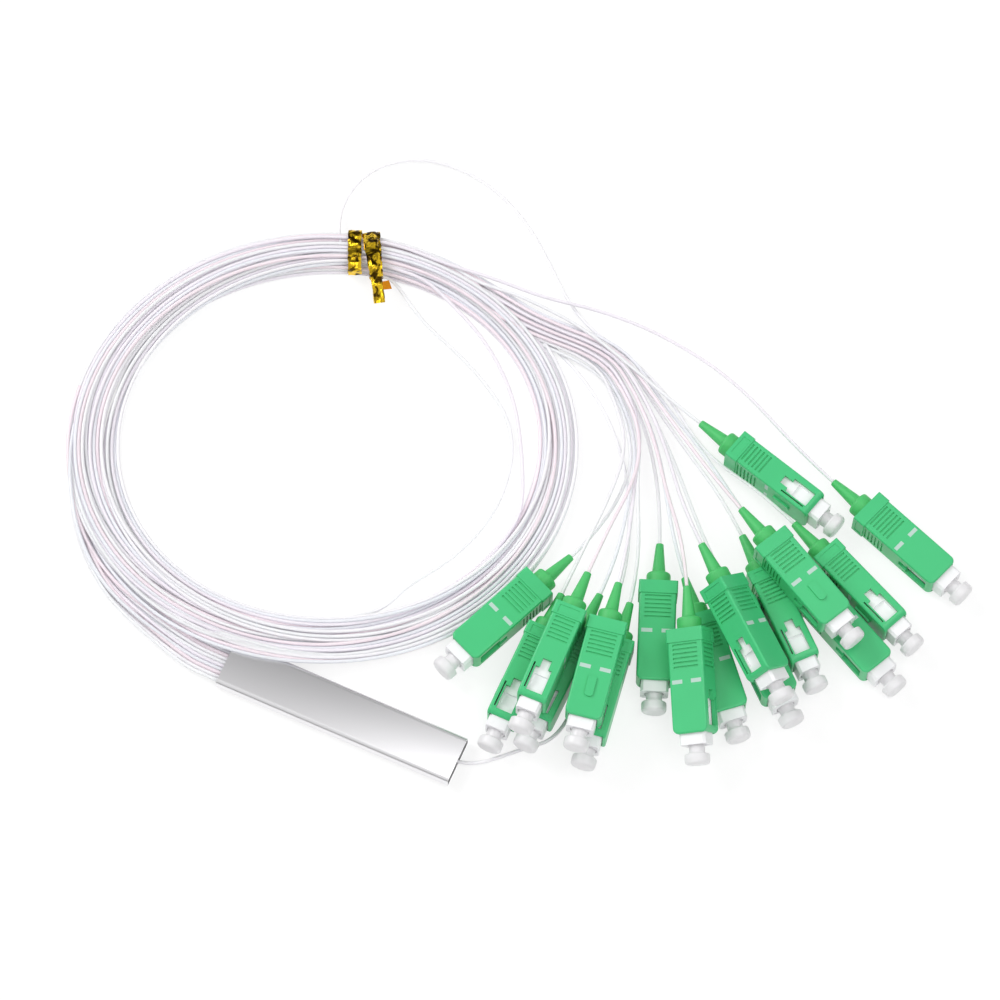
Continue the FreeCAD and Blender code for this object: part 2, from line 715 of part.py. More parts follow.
def makeCoil():
    """Room of the bundle, a ring between two ovals; each fibre of it is drawn in the looks."""
    outer = oval("coilOutside", OUTER_CENTRE, OUTER_MAJOR, OUTER_MINOR,
                 "sizes.coilUnderside", "sizes.coilHeight")
    inner = oval("coilInside", INNER_CENTRE, INNER_MAJOR, INNER_MINOR,
                 "sizes.coilUnderside - sizes.coilRoomOverlap",
                 "sizes.coilHeight + sizes.coilRoomOverlap * 2")
    spare = "sizes.coilTubeGap"
    tube = boxAt("tubeRoom", "sizes.tubeLength + %s * 2" % spare, "sizes.tubeWidth + %s * 2" % spare,
                 "sizes.tubeHeight + %s" % spare, "-sizes.tubeLength / 2 - " + spare, "0")
    keep(cutFrom("fibre_coil", outer, [inner, tube]), "fibre_coil")


# Twist tie: two flat turns round the coil's far side and a twisted end with both tips.

def ringPoint(centre, major, minor, direction):
    """Where a ray from the outer oval's centre leaves an oval."""
    turned = Rotation(UP, -OVAL_TURN)
    start = turned.multVec(OUTER_CENTRE - centre)
    way = turned.multVec(direction)
    a = (way.x / major) ** 2 + (way.y / minor) ** 2
    b = 2 * (start.x * way.x / major ** 2 + start.y * way.y / minor ** 2)
    c = (start.x / major) ** 2 + (start.y / minor) ** 2 - 1
    return (-b + math.sqrt(b * b - 4 * a * c)) / (2 * a)


def ringNormal(far, way):
    """Way square to the outer oval at a point on it."""
    spot = Rotation(UP, -OVAL_TURN).multVec(way * far)
    slope = Vector(spot.x / value(OUTER_MAJOR) ** 2, spot.y / value(OUTER_MINOR) ** 2, 0)
    return Rotation(UP, OVAL_TURN).multVec(slope).normalize()


BAND_ANGLES = (81.9, 76.4)


def makeTie():
    bands = []
    for number, angle in enumerate(BAND_ANGLES):
        way = Rotation(UP, OVAL_TURN + angle).multVec(AXIS)
        far = ringPoint(OUTER_CENTRE, value(OUTER_MAJOR), value(OUTER_MINOR), way)
        near = ringPoint(INNER_CENTRE, value(INNER_MAJOR), value(INNER_MINOR), way)
        middle = OUTER_CENTRE + way * ((far + near) / 2)
        gap = value("sizes.tieGap")
        thick = value("sizes.tieThickness")
        inside = far - near + 2 * gap
        low = value("sizes.coilUnderside") - thick - value("sizes.tieUnderGap")
        tall = value("sizes.coilUnderside + sizes.coilHeight") + gap - (low + thick)
        square = ringNormal(far, way)
        seat = Placement(middle + Vector(0, 0, low), Rotation(square, Vector(), UP, "XZY"))
        outer = Part.makeBox(inside + 2 * thick, value("sizes.tieWidth"), tall + 2 * thick,
                             Vector(-inside / 2 - thick, -value("sizes.tieWidth") / 2, 0))
        hole = Part.makeBox(inside, value("sizes.tieWidth"), tall,
                            Vector(-inside / 2, -value("sizes.tieWidth") / 2, thick))
        long = [edge for edge in outer.Edges if runsAlong(edge, ACROSS)]
        outer = outer.makeFillet(thick * 2, long)
        long = [edge for edge in hole.Edges if runsAlong(edge, ACROSS)]
        hole = hole.makeFillet(thick, long)
        band = doc.addObject("Part::Feature", "tieBand%d" % (number + 1))
        band.Shape = outer.cut(hole)
        band.Placement = seat
        bands.append(band)
    bands.append(tieEnd(low + tall + 2 * thick))
    group("twist_tie", bands)


# The twisted end leaves the second band's top and comes down towards the coil's middle:
# distance along it, height above the band, how far it has twisted and its share of the width.
TIE_END = [
    (0.0, 0.3, 0.0, 1.0),
    (3.5, 2.0, 70.0, 0.8),
    (7.5, 1.3, 150.0, 0.75),
    (11.0, -1.6, 235.0, 0.8),
    (13.5, -4.0, 270.0, 1.0),
]
TIE_END_START = Vector(-40.4, 108.4, 0)
TIE_END_WAY = Vector(0.42, -0.91, 0)


def tieEnd(top):
    """Strip twisted about its own length, as a loft through a few turned sections."""
    sections = []
    half = value("sizes.tieWidth") / 2
    thick = value("sizes.tieTailThickness") / 2
    side = UP.cross(TIE_END_WAY).normalize()
    for index, (along, height, twist, share) in enumerate(TIE_END):
        before = TIE_END[max(index - 1, 0)]
        after = TIE_END[min(index + 1, len(TIE_END) - 1)]
        slope = TIE_END_WAY * (after[0] - before[0]) + UP * (after[1] - before[1])
        turned = Rotation(slope, twist)
        wide = turned.multVec(side) * (half * share)
        high = turned.multVec(slope.cross(side).normalize()) * thick
        centre = TIE_END_START + TIE_END_WAY * along + UP * (top + height)
        corners = [centre - wide - high, centre + wide - high, centre + wide + high,
                   centre - wide + high]
        sections.append(Part.makePolygon(corners + corners[:1]))
    strip = doc.addObject("Part::Feature", "tieTwistedEnd")
    strip.Shape = Part.makeLoft(sections, True, True)
    return strip


# Fibres outside the coil. Each route is a list of points: straight runs joined by arcs.
# The last two points of a tail are on the axis of its connector, behind the boot and in it.
TAILS = {
    1: [
        (-11.0, 107.0, 1.8), (-0.2, 105.5, 1.8), (17.9, 105.5, 1.3), (26.9, 101.1, 1.1),
        (34.0, 92.6, 1.7), (38.6, 82.9, 2.5),
    ],
    2: [
        (-10.7, 108.0, 1.9), (0.2, 106.4, 2.0), (19.0, 106.5, 2.4), (26.9, 99.5, 2.0),
        (34.5, 89.8, 2.1), (36.5, 76.1, 5.8),
    ],
    3: [
        (-10.5, 108.4, 2.9), (0.3, 106.7, 2.9), (19.2, 107.4, 3.1), (27.6, 102.2, 3.9),
        (36.2, 93.5, 5.8), (40.7, 81.4, 8.1),
    ],
    4: [
        (-10.3, 108.9, 1.6), (0.6, 107.1, 1.6), (19.2, 107.4, 1.2), (28.4, 100.4, 2.1),
        (36.7, 90.8, 2.4), (40.2, 78.6, 2.9),
    ],
    5: [
        (-10.1, 109.6, 2.9), (0.9, 107.9, 2.9), (20.0, 108.5, 2.9), (28.7, 102.6, 3.7),
        (36.8, 93.3, 4.8), (40.6, 80.0, 7.4),
    ],
    6: [
        (-10.0, 109.9, 1.9), (1.1, 108.0, 1.9), (20.5, 108.3, 1.8), (29.5, 100.7, 1.7),
        (37.0, 92.4, 2.1), (40.3, 82.2, 2.9),
    ],
    7: [
        (-9.6, 110.8, 1.9), (1.5, 108.9, 1.9), (20.3, 109.6, 1.9), (30.0, 102.0, 1.7),
        (39.1, 93.1, 2.0),
    ],
    8: [
        (-9.6, 110.8, 2.9), (1.5, 109.0, 2.9), (20.8, 109.7, 2.9), (29.7, 103.6, 3.9),
        (40.0, 93.0, 5.8), (48.5, 80.2, 9.0),
    ],
    9: [
        (-9.3, 111.6, 1.6), (1.9, 109.8, 1.6), (21.6, 110.6, 1.6), (31.3, 102.7, 1.8),
        (42.3, 91.7, 2.4),
    ],
    10: [
        (-9.1, 112.0, 2.9), (2.1, 110.2, 2.9), (21.6, 110.8, 2.9), (31.8, 103.7, 4.4),
        (42.9, 92.2, 7.9),
    ],
    11: [
        (-9.0, 112.5, 2.0), (2.3, 110.7, 2.0), (21.7, 111.6, 2.1), (33.7, 102.5, 1.8),
        (45.4, 91.7, 2.4),
    ],
    12: [
        (-8.7, 113.4, 1.7), (2.8, 111.5, 1.6), (22.7, 112.6, 1.3), (35.5, 102.7, 1.8),
        (46.7, 95.0, 2.6),
    ],
    13: [
        (-8.7, 113.2, 2.9), (2.8, 111.4, 3.0), (22.5, 112.0, 2.8), (33.4, 104.8, 3.6),
        (45.5, 96.1, 6.9),
    ],
    14: [
        (-8.3, 114.4, 1.8), (3.2, 112.4, 1.9), (23.6, 113.5, 2.4), (37.7, 103.6, 1.8),
        (51.5, 95.8, 2.4),
    ],
    16: [
        (-24.5, 114.6, 4.6), (-12.5, 116.0, 4.2), (0.7, 116.4, 3.7), (14.4, 119.1, 3.3),
        (30.9, 119.4, 3.4), (51.9, 115.4, 3.6),
    ],
    17: [
        (-16.0, 113.6, 3.4), (-6.5, 114.6, 3.5), (2.5, 114.2, 3.4), (10.5, 113.4, 3.3),
        (19.6, 111.0, 4.0),
    ],
}

# the input's connector is the one that no output ends in
INPUT_CONNECTOR = [n for n in range(1, len(CONNECTORS) + 1) if n not in TAILS][0]

# The input's last stretch leaves the coil at the tie, swings wide round it and ends in its boot.
INPUT_TAIL = [
    (-49.3, 107.6, 3.4), (-53.4, 113.3, 2.4), (-55.4, 120.6, 1.2), (-54.4, 128.8, 0.8),
    (-49.6, 135.8, 0.8), (-41.6, 140.2, 0.8), (-31.8, 141.3, 0.8), (-21.4, 139.2, 0.8),
    (-11.6, 134.3, 0.8), (-2.8, 127.2, 0.9), (5.2, 119.6, 1.2), (14.0, 114.2, 1.5),
    (24.5, 112.0, 1.2), (38.0, 106.3, 1.5), (52.4, 95.1, 1.7),
]

# From the tube's end plug, under the connectors' caps and round into the coil.
INPUT_FIBRE = [
    (26.6, 0.0, 1.65), (30.4, 0.0, 1.65), (33.8, 0.5, 0.9), (37.8, 1.9, 0.55), (41.8, 4.6, 0.55),
    (45.3, 8.9, 0.55), (48.0, 15.0, 0.55), (49.1, 23.0, 0.55), (49.1, 31.5, 0.55),
    (48.6, 39.9, 0.55), (47.9, 49.5, 0.55), (47.0, 59.5, 0.55), (43.5, 71.0, 0.55),
    (37.0, 84.0, 0.55), (26.5, 96.0, 0.55), (13.5, 104.6, 0.5), (0.0, 109.0, 0.5),
]

# Two turns that stray inside the coil.
STRAY_TURNS = [
    [(-33.6, 106.5, 3.0), (-26.7, 99.8, 2.4), (-19.5, 97.4, 1.6), (-10.9, 94.4, 1.0),
     (-3.2, 90.6, 1.0), (4.2, 85.8, 1.0), (9.3, 78.8, 1.0), (11.8, 69.5, 1.0), (12.0, 60.0, 1.0),
     (9.6, 50.7, 1.0), (5.5, 42.5, 1.2), (-1.0, 33.0, 2.0)],
    [(-30.5, 110.0, 4.0), (-20.8, 106.4, 3.4), (-13.0, 103.4, 2.4), (-6.4, 99.4, 2.2),
     (-0.4, 94.6, 2.2), (5.2, 88.6, 2.2), (10.6, 80.0, 2.2), (15.5, 70.5, 2.2)],
]

ROUTE_SHARE = 0.45


def roundedRoute(points):
    """Wire of straight runs with an arc at each point between them, and its tightest radius."""
    places = [Vector(*point) for point in points]
    edges = []
    start = places[0]
    tightest = 1e9
    for before, corner, after in zip(places, places[1:], places[2:]):
        inward = (corner - before).normalize()
        outward = (after - corner).normalize()
        turnAngle = inward.getAngle(outward)
        cut = ROUTE_SHARE * min(before.distanceToPoint(corner), corner.distanceToPoint(after))
        radius = cut / math.tan(turnAngle / 2)
        tightest = min(tightest, radius)
        middleWay = (outward - inward).normalize()
        reach = radius / math.cos(turnAngle / 2) - radius
        arcStart = corner - inward * cut
        arcEnd = corner + outward * cut
        edges.append(Part.LineSegment(start, arcStart).toShape())
        edges.append(Part.Arc(arcStart, corner + middleWay * reach, arcEnd).toShape())
        start = arcEnd
    edges.append(Part.LineSegment(start, places[-1]).toShape())
    return Part.Wire(edges), tightest


def fibreTube(name, points):
    wire, tightest = roundedRoute(points)
    route = doc.addObject("Part::Feature", name + "Route")
    route.Shape = wire
    section = doc.addObject("Part::Circle", name + "Section")
    section.setExpression("Radius", "sizes.fibreDiameter / 2")
    heading = (Vector(*points[1]) - Vector(*points[0])).normalize()
    section.Placement = Placement(Vector(*points[0]), Rotation(UP, heading))
    tube = doc.addObject("Part::Sweep", name)
    tube.Sections = [section]
    tube.Spine = (route, ["Edge%d" % (i + 1) for i in range(len(wire.Edges))])
    tube.Solid = True
    tube.Frenet = False
    doc.recompute()
    area = math.pi * value("sizes.fibreDiameter") ** 2 / 4
    share = tube.Shape.Volume / (area * wire.Length)
    print("%s: length %.1f, tightest radius %.1f, volume share %.4f" % (
        name, wire.Length, tightest, share))
    return tube


def tailPoints(number, points):
    """The listed points, then the two on the connector's axis."""
    seat = seatOf(number)
    behind = seat.multVec(Vector(value("%s - sizes.fibreRunBehindBoot" % BOOT_TIP), 0, 0))
    end = seat.multVec(Vector(value(FIBRE_END), 0, 0))
    return points + [tuple(behind), tuple(end)]


def makeFibres():
    tails = [fibreTube("tail%02d" % number, tailPoints(number, points))
             for number, points in TAILS.items()]
    group("output_tails", tails)
    keep(fibreTube("input_tail", tailPoints(INPUT_CONNECTOR, INPUT_TAIL)), "input_tail")
    keep(fibreTube("input_fibre", INPUT_FIBRE), "input_fibre")
    strays = [fibreTube("stray%d" % (i + 1), points) for i, points in enumerate(STRAY_TURNS)]
    group("stray_turns", strays)


# Sixteen output fibres side by side, from the tube's output end into the coil.
RIBBON_ROUTE = [
    (-26.6, 0.0), (-38.0, 0.0), (-52.0, 3.5), (-64.0, 9.5),
]


def makeRibbon():
    """Flat band on its own route, as thick as two layers of fibre."""
    wire, tightest = roundedRoute([(x, y, value(FIBRE_LEVEL)) for x, y in RIBBON_ROUTE])
    route = doc.addObject("Part::Feature", "ribbonRoute")
    route.Shape = wire
    section = doc.addObject("Part::Plane", "ribbonSection")
    bind(section, Length="sizes.ribbonThickness", Width="sizes.ribbonWidth")
    section.Placement = Placement(Vector(RIBBON_ROUTE[0][0], 0, 0), Rotation(ACROSS, -90))
    section.setExpression("Placement.Base.y", "-sizes.ribbonWidth / 2")
    section.setExpression("Placement.Base.z", "%s - sizes.ribbonThickness / 2" % FIBRE_LEVEL)
    band = doc.addObject("Part::Sweep", "lead_in_fibres")
    band.Sections = [section]
    band.Spine = (route, ["Edge%d" % (i + 1) for i in range(len(wire.Edges))])
    band.Solid = True
    keep(band, "lead_in_fibres")


def checkAndWrite():
    doc.recompute()
    for thing in doc.Objects:
        assert "Invalid" not in thing.State and "Error" not in thing.State, thing.Name
    for node in nodes:
        shape = node.Shape
        assert not shape.isNull() and shape.isValid(), node.Label
        assert shape.Solids, node.Label + " has no solid"
    for node in nodes:
        node.Shape.exportStep("parts/%s.step" % node.Label)


makeTube()
makeInside()
makeCoil()
makeTie()
makeFibres()
makeRibbon()
placeConnectors()
checkAndWrite()
print("%d nodes" % len(nodes))
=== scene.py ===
import math
import bpy
import numpy as np
from mathutils import Matrix, Vector


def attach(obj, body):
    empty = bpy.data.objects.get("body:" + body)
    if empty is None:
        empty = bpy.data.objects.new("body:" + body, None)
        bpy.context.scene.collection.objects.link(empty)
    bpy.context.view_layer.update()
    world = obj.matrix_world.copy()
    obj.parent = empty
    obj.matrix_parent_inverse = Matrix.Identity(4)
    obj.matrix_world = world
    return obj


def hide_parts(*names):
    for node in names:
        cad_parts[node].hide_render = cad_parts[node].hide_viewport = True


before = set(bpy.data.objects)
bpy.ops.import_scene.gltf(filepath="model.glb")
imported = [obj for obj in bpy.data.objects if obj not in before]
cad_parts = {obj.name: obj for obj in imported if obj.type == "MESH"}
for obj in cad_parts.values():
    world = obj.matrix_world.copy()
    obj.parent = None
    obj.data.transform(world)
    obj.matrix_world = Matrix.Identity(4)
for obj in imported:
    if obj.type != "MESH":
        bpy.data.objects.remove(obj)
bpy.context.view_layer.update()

print("frame loaded,", len(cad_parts), "nodes")
mm = 0.001

# Small helpers for colour, nodes and meshes.

def linearColour(hexText):
    # ((channel + 0.055) / 1.055) to the power 2.4, and channel / 12.92 in the darkest part
    channels = np.array([int(hexText[i:i + 2], 16) for i in (1, 3, 5)]) / 255
    linear = np.where(channels <= 0.04045, channels / 12.92, ((channels + 0.055) / 1.055) ** 2.4)
    return (*linear.tolist(), 1.0)


def addNode(owner, kind, settings=None, links=None):
    # one node of a material or world: settings are sockets or properties, links are socket name
    # to source socket
    node = owner.node_tree.nodes.new(kind)
    for name, value in (settings or {}).items():
        if isinstance(name, int) or name in node.inputs:
            node.inputs[name].default_value = value
        else:
            setattr(node, name, value)
    for name, source in (links or {}).items():
        owner.node_tree.links.new(source, node.inputs[name])
    return node


def newMaterial(name, settings):
    material = bpy.data.materials.new(name)
    material.use_nodes = True
    shader = material.node_tree.nodes["Principled BSDF"]
    for socket, value in settings.items():
        shader.inputs[socket].default_value = value
    return material, shader


def noiseOver(material, scale, detail, distortion=0.0):
    # noise over the object's own coordinates
    place = addNode(material, "ShaderNodeTexCoord").outputs["Object"]
    return addNode(material, "ShaderNodeTexNoise",
                   {"Scale": scale, "Detail": detail, "Distortion": distortion},
                   {"Vector": place}).outputs["Fac"]


def mixTones(material, shader, share, low, high):
    # base colour = low + share * (high - low)
    mix = addNode(material, "ShaderNodeMix", {"data_type": "RGBA"}, {0: share})
    mix.inputs[6].default_value = (*low, 1.0)
    mix.inputs[7].default_value = (*high, 1.0)
    material.node_tree.links.new(mix.outputs[2], shader.inputs["Base Color"])


def meshFrom(name, vertices, faces, material, smoothAngle=40):
    # mesh object at the origin from an array of places and an array of corner numbers
    mesh = bpy.data.meshes.new(name)
    mesh.from_pydata(np.asarray(vertices).tolist(), [], [list(face) for face in faces])
    mesh.update()
    mesh.shade_smooth()
    mesh.set_sharp_from_angle(angle=math.radians(smoothAngle))
    thing = bpy.data.objects.new(name, mesh)
    bpy.context.scene.collection.objects.link(thing)
    mesh.materials.append(material)
    return thing


def ringFaces(rings, sides, poles):
    # corner numbers of the quads between neighbouring rings, in a closed loop of rings, or with
    # poles in a run of rings that two more corners close by fans
    rows, columns = np.meshgrid(np.arange(rings - poles), np.arange(sides), indexing="ij")
    nextRow, nextColumn = (rows + 1) % rings, (columns + 1) % sides
    faces = np.stack([rows * sides + columns, rows * sides + nextColumn,
                      nextRow * sides + nextColumn, nextRow * sides + columns], axis=-1)
    faces = faces.reshape(-1, 4).tolist()
    if poles:
        near = np.arange(sides)
        following = (near + 1) % sides
        first, last = rings * sides, (rings - 1) * sides
        faces += np.column_stack([np.full(sides, first), following, near]).tolist()
        faces += np.column_stack([last + near, last + following, np.full(sides, first + 1)]).tolist()
    return faces


def turnedGrid(profile, segments, poles=False):
    # surface of revolution about X: x = along, y = radius * cos(angle), z = radius * sin(angle);
    # the profile is a closed loop of (along, radius), or with poles a run between two points on
    # the axis
    profile = np.asarray(profile, float)
    rings = profile[1:-1] if poles else profile
    angles = np.linspace(0, 2 * np.pi, segments, endpoint=False)
    along = np.repeat(rings[:, 0], segments)
    radius = np.repeat(rings[:, 1], segments)
    turn = np.tile(angles, len(rings))
    vertices = np.stack([along, radius * np.cos(turn), radius * np.sin(turn)], axis=1)
    if poles:
        vertices = np.vstack([vertices, np.column_stack([profile[[0, -1], 0], np.zeros((2, 2))])])
    return vertices, ringFaces(len(rings), segments, poles)


def roundedCorner(before, corner, after, radius, steps):
    # points of a quarter-like arc in place of a corner: a quadratic curve between the two
    # points that lie one radius away from the corner along its sides
    before, corner, after = (np.asarray(p, float) for p in (before, corner, after))
    start = corner + (before - corner) / np.linalg.norm(before - corner) * radius
    end = corner + (after - corner) / np.linalg.norm(after - corner) * radius
    t = np.linspace(0, 1, steps + 1)[:, None]
    return ((1 - t) ** 2 * start + 2 * t * (1 - t) * corner + t ** 2 * end).tolist()


def roundedRun(places, rounding):
    # the run's inner corners, each in turn with its (radius, steps)
    points = []
    for before, corner, after, (radius, steps) in zip(places, places[1:], places[2:], rounding):
        points += roundedCorner(before, corner, after, radius, steps)
    return points


# Places of the connectors, as the frame has them: x, y, yaw, pitch, roll, how each rests and
# its lift, in millimetres and degrees.
connectors = [
    (29.9, 47.6, -113.0, 0.0, 180.0, "keyDown", 0.0),
    (35.7, 37.0, -90.4, 0.0, 90.0, "edge", 0.0),
    (40.8, 41.2, -88.7, 0.0, 90.0, "upperEdge", 0.0),
    (43.9, 40.6, -91.5, 0.0, 90.0, "edge", 0.0),
    (49.8, 42.2, -80.5, 0.0, 0.0, "upperFlat", 0.0),
    (53.0, 41.6, -82.0, 0.0, 90.0, "edge", 0.0),
    (55.8, 59.0, -68.8, 0.0, 180.0, "keyDown", 0.0),
    (67.9, 48.6, -63.0, 9.9, 207.0, "upperFlat", -0.1),
    (67.6, 55.4, -49.2, 0.0, 180.0, "keyDown", 0.0),
    (70.3, 61.8, -39.6, 4.4, 137.0, "upperEdge", 1.25),
    (74.9, 61.6, -42.2, 0.0, 180.0, "keyDown", 0.0),
    (76.9, 71.5, -42.3, 0.0, 90.0, "edge", 0.0),
    (76.4, 76.5, -27.5, 1.5, 0.0, "upperFlat", 0.15),
    (89.3, 72.2, -26.7, 0.0, 180.0, "keyDown", 0.0),
    (88.8, 82.1, -24.5, 0.0, 90.0, "edge", 0.0),
    (93.6, 96.8, -20.0, 0.0, 180.0, "keyDown", 0.0),
    (58.8, 98.3, -16.0, 0.0, 90.0, "edge", 0.0),
]
inputConnector = 15
restHeight = {"keyDown": 4.05, "edge": 4.65, "upperFlat": 13.45, "upperEdge": 14.25}


def connectorPlace(number):
    # matrix of a connector: turned by roll about X, then pitch about Y, then yaw about Z
    x, y, yaw, pitch, roll, way, lift = connectors[number - 1]
    turn = (Matrix.Rotation(math.radians(yaw), 3, "Z")
            @ Matrix.Rotation(math.radians(pitch), 3, "Y")
            @ Matrix.Rotation(math.radians(roll), 3, "X"))
    place = np.array([x, y, restHeight[way] + lift])
    return np.array(turn), place


def placed(vertices, number):
    turn, place = connectorPlace(number)
    return (np.asarray(vertices) @ turn.T + place) * mm


# Camera: the photograph's angle, with a long lens.
cameraSizes = {
    "place": (157.67, -262.43, 933.58),
    "target": (11.91, 64.96, 0.0),
    "lens": 149.4,
    "sensor": 36.0,
    "clip": (0.05, 20.0),
}


def addCamera():
    lens = bpy.data.cameras.new("camera")
    lens.lens = cameraSizes["lens"]
    lens.sensor_width = cameraSizes["sensor"]
    lens.clip_start, lens.clip_end = cameraSizes["clip"]
    camera = bpy.data.objects.new("camera", lens)
    camera.location = Vector(cameraSizes["place"]) * mm
    view = Vector(cameraSizes["target"]) * mm - camera.location
    camera.rotation_euler = view.to_track_quat("-Z", "Y").to_euler()
    bpy.context.scene.collection.objects.link(camera)
    bpy.context.scene.camera = camera


addCamera()
print("camera placed")

# Fibres. The coil's strands are laid out at stations round two ovals, station by station,
# and then pushed apart until each has room for its own thickness.
coil = {
    "diameter": 0.9,
    "outerCentre": (-32.7, 59.8),
    "outerHalf": (61.4, 55.7),
    "innerCentre": (-31.3, 62.2),
    "innerHalf": (50.3, 44.6),
    "ovalTurn": 24.0,
    "turns": 2,
    "stations": 36,
    # stations left out before a strand's tail, and after the input fibre's entry
    "leaving": 0.35,
    "entering": 0.3,
    "rounds": 420,
    "seed": 7,
    # each ribbon of strands wanders between the ovals: (swing, waves a turn) of two waves, the
    # limits of its share, and the pitch of its strands; its level by share of the height
    "ribbon": 4,
    "swings": ((0.24, 0.37), (0.16, 0.83)),
    "wanderLimits": (0.1, 0.9),
    "ribbonPitch": 0.95,
    "levelShares": (0.25, 0.24),
    "levelWave": (0.6, 0.4, 2.1),
}
# first stretch out of the tube: places along it, sideways drift and fall there, pitch of the
# slots, how many lie in the upper row, and both rows' heights
leads = {
    "along": (-26.6, -33.0, -40.5),
    "drift": (0.0, 0.0, 0.4),
    "fall": (0.0, 0.3, 0.5),
    "pitch": 0.93,
    "upper": 11,
    "heights": (2.1, 1.2),
}
# one round of settling: share of an overlap that is undone, least lift, share of the smoothing
# and sinking
settling = {
    "push": 0.42,
    "lift": 0.02,
    "smoothing": 0.25,
    "sink": 0.012,
    # lowest middle of a strand, and the least height that it has above that
    "floor": 0.47,
    "layer": 0.9,
    # room inside the inner and outside the outer oval, and where the bundle lies loose
    "room": 0.3,
    "looseRoom": 6,
    "looseAngles": (195, 262),
    # room past the tube's ends, beside it and above it
    "tubeRoom": (0.8, 0.6, 0.5),
    # share of the parting by which the inner strands move the other way
    "partingBack": -0.3,
}
tubeBox = {"x": (-30.0, 30.0), "y": (-6.0, 6.0), "top": 4.0}
# how much wider the bundle lies at these angles than packed strands would, as a share
bundleSpread = {"angle": (0, 60, 110, 142, 164, 190, 212, 240, 272, 292, 330, 360),
                "share": (0.14, 0.03, 0.0, 0.08, 0.12, 0.42, 0.22, 0.14, 0.16, 0.19, 0.15, 0.14),
                "roundsLeft": 24}
# where the bundle parts on the left: strands past this share of its width lie further out
bundleParting = {"angle": (154, 168, 182, 196), "shift": (0.0, 1.3, 1.3, 0.0), "share": 0.36}
# height that the bundle may have at these angles round the coil: tie, left, bottom, right
bundleHeight = {"angle": (0, 80, 180, 270, 360), "height": (4.2, 5.6, 4.3, 3.8, 4.2)}

tails = {
    1: [(-11.0, 107.0, 1.8), (-0.2, 105.5, 1.8), (17.9, 105.5, 1.3), (26.9, 101.1, 1.1),
        (34.0, 92.6, 1.7), (38.6, 82.9, 2.5)],
    2: [(-10.7, 108.0, 1.9), (0.2, 106.4, 2.0), (19.0, 106.5, 2.4), (26.9, 99.5, 2.0),
        (34.5, 89.8, 2.1), (36.5, 76.1, 5.8)],
    3: [(-10.5, 108.4, 2.9), (0.3, 106.7, 2.9), (19.2, 107.4, 3.1), (27.6, 102.2, 3.9),
        (36.2, 93.5, 5.8), (40.7, 81.4, 8.1)],
    4: [(-10.3, 108.9, 1.6), (0.6, 107.1, 1.6), (19.2, 107.4, 1.2), (28.4, 100.4, 2.1),
        (36.7, 90.8, 2.4), (40.2, 78.6, 2.9)],
    5: [(-10.1, 109.6, 2.9), (0.9, 107.9, 2.9), (20.0, 108.5, 2.9), (28.7, 102.6, 3.7),
        (36.8, 93.3, 4.8), (40.6, 80.0, 7.4)],
    6: [(-10.0, 109.9, 1.9), (1.1, 108.0, 1.9), (20.5, 108.3, 1.8), (29.5, 100.7, 1.7),
        (37.0, 92.4, 2.1), (40.3, 82.2, 2.9)],
    7: [(-9.6, 110.8, 1.9), (1.5, 108.9, 1.9), (20.3, 109.6, 1.9), (30.0, 102.0, 1.7),
        (39.1, 93.1, 2.0)],
    8: [(-9.6, 110.8, 2.9), (1.5, 109.0, 2.9), (20.8, 109.7, 2.9), (29.7, 103.6, 3.9),
        (40.0, 93.0, 5.8), (48.5, 80.2, 9.0)],
    9: [(-9.3, 111.6, 1.6), (1.9, 109.8, 1.6), (21.6, 110.6, 1.6), (31.3, 102.7, 1.8),
        (42.3, 91.7, 2.4)],
    10: [(-9.1, 112.0, 2.9), (2.1, 110.2, 2.9), (21.6, 110.8, 2.9), (31.8, 103.7, 4.4),
         (42.9, 92.2, 7.9)],
    11: [(-9.0, 112.5, 2.0), (2.3, 110.7, 2.0), (21.7, 111.6, 2.1), (33.7, 102.5, 1.8),
         (45.4, 91.7, 2.4)],
    12: [(-8.7, 113.4, 1.7), (2.8, 111.5, 1.6), (22.7, 112.6, 1.3), (35.5, 102.7, 1.8),
         (46.7, 95.0, 2.6)],
    13: [(-8.7, 113.2, 2.9), (2.8, 111.4, 3.0), (22.5, 112.0, 2.8), (33.4, 104.8, 3.6),
         (45.5, 96.1, 6.9)],
    14: [(-8.3, 114.4, 1.8), (3.2, 112.4, 1.9), (23.6, 113.5, 2.4), (37.7, 103.6, 1.8),
         (51.5, 95.8, 2.4)],
    16: [(-24.5, 114.6, 4.6), (-12.5, 116.0, 4.2), (0.7, 116.4, 3.7), (14.4, 119.1, 3.3),
         (30.9, 119.4, 3.4), (51.9, 115.4, 3.6)],
    17: [(-16.0, 113.6, 3.4), (-6.5, 114.6, 3.5), (2.5, 114.2, 3.4), (10.5, 113.4, 3.3),
         (19.6, 111.0, 4.0)],
}
inputTail = [
    (-49.3, 107.6, 3.4), (-53.4, 113.3, 2.4), (-55.4, 120.6, 1.2), (-54.4, 128.8, 0.8),
    (-49.6, 135.8, 0.8), (-41.6, 140.2, 0.8), (-31.8, 141.3, 0.8), (-21.4, 139.2, 0.8),
    (-11.6, 134.3, 0.8), (-2.8, 127.2, 0.9), (5.2, 119.6, 1.2), (14.0, 114.2, 1.5),
    (24.5, 112.0, 1.2), (38.0, 106.3, 1.5), (52.4, 95.1, 1.7),
]
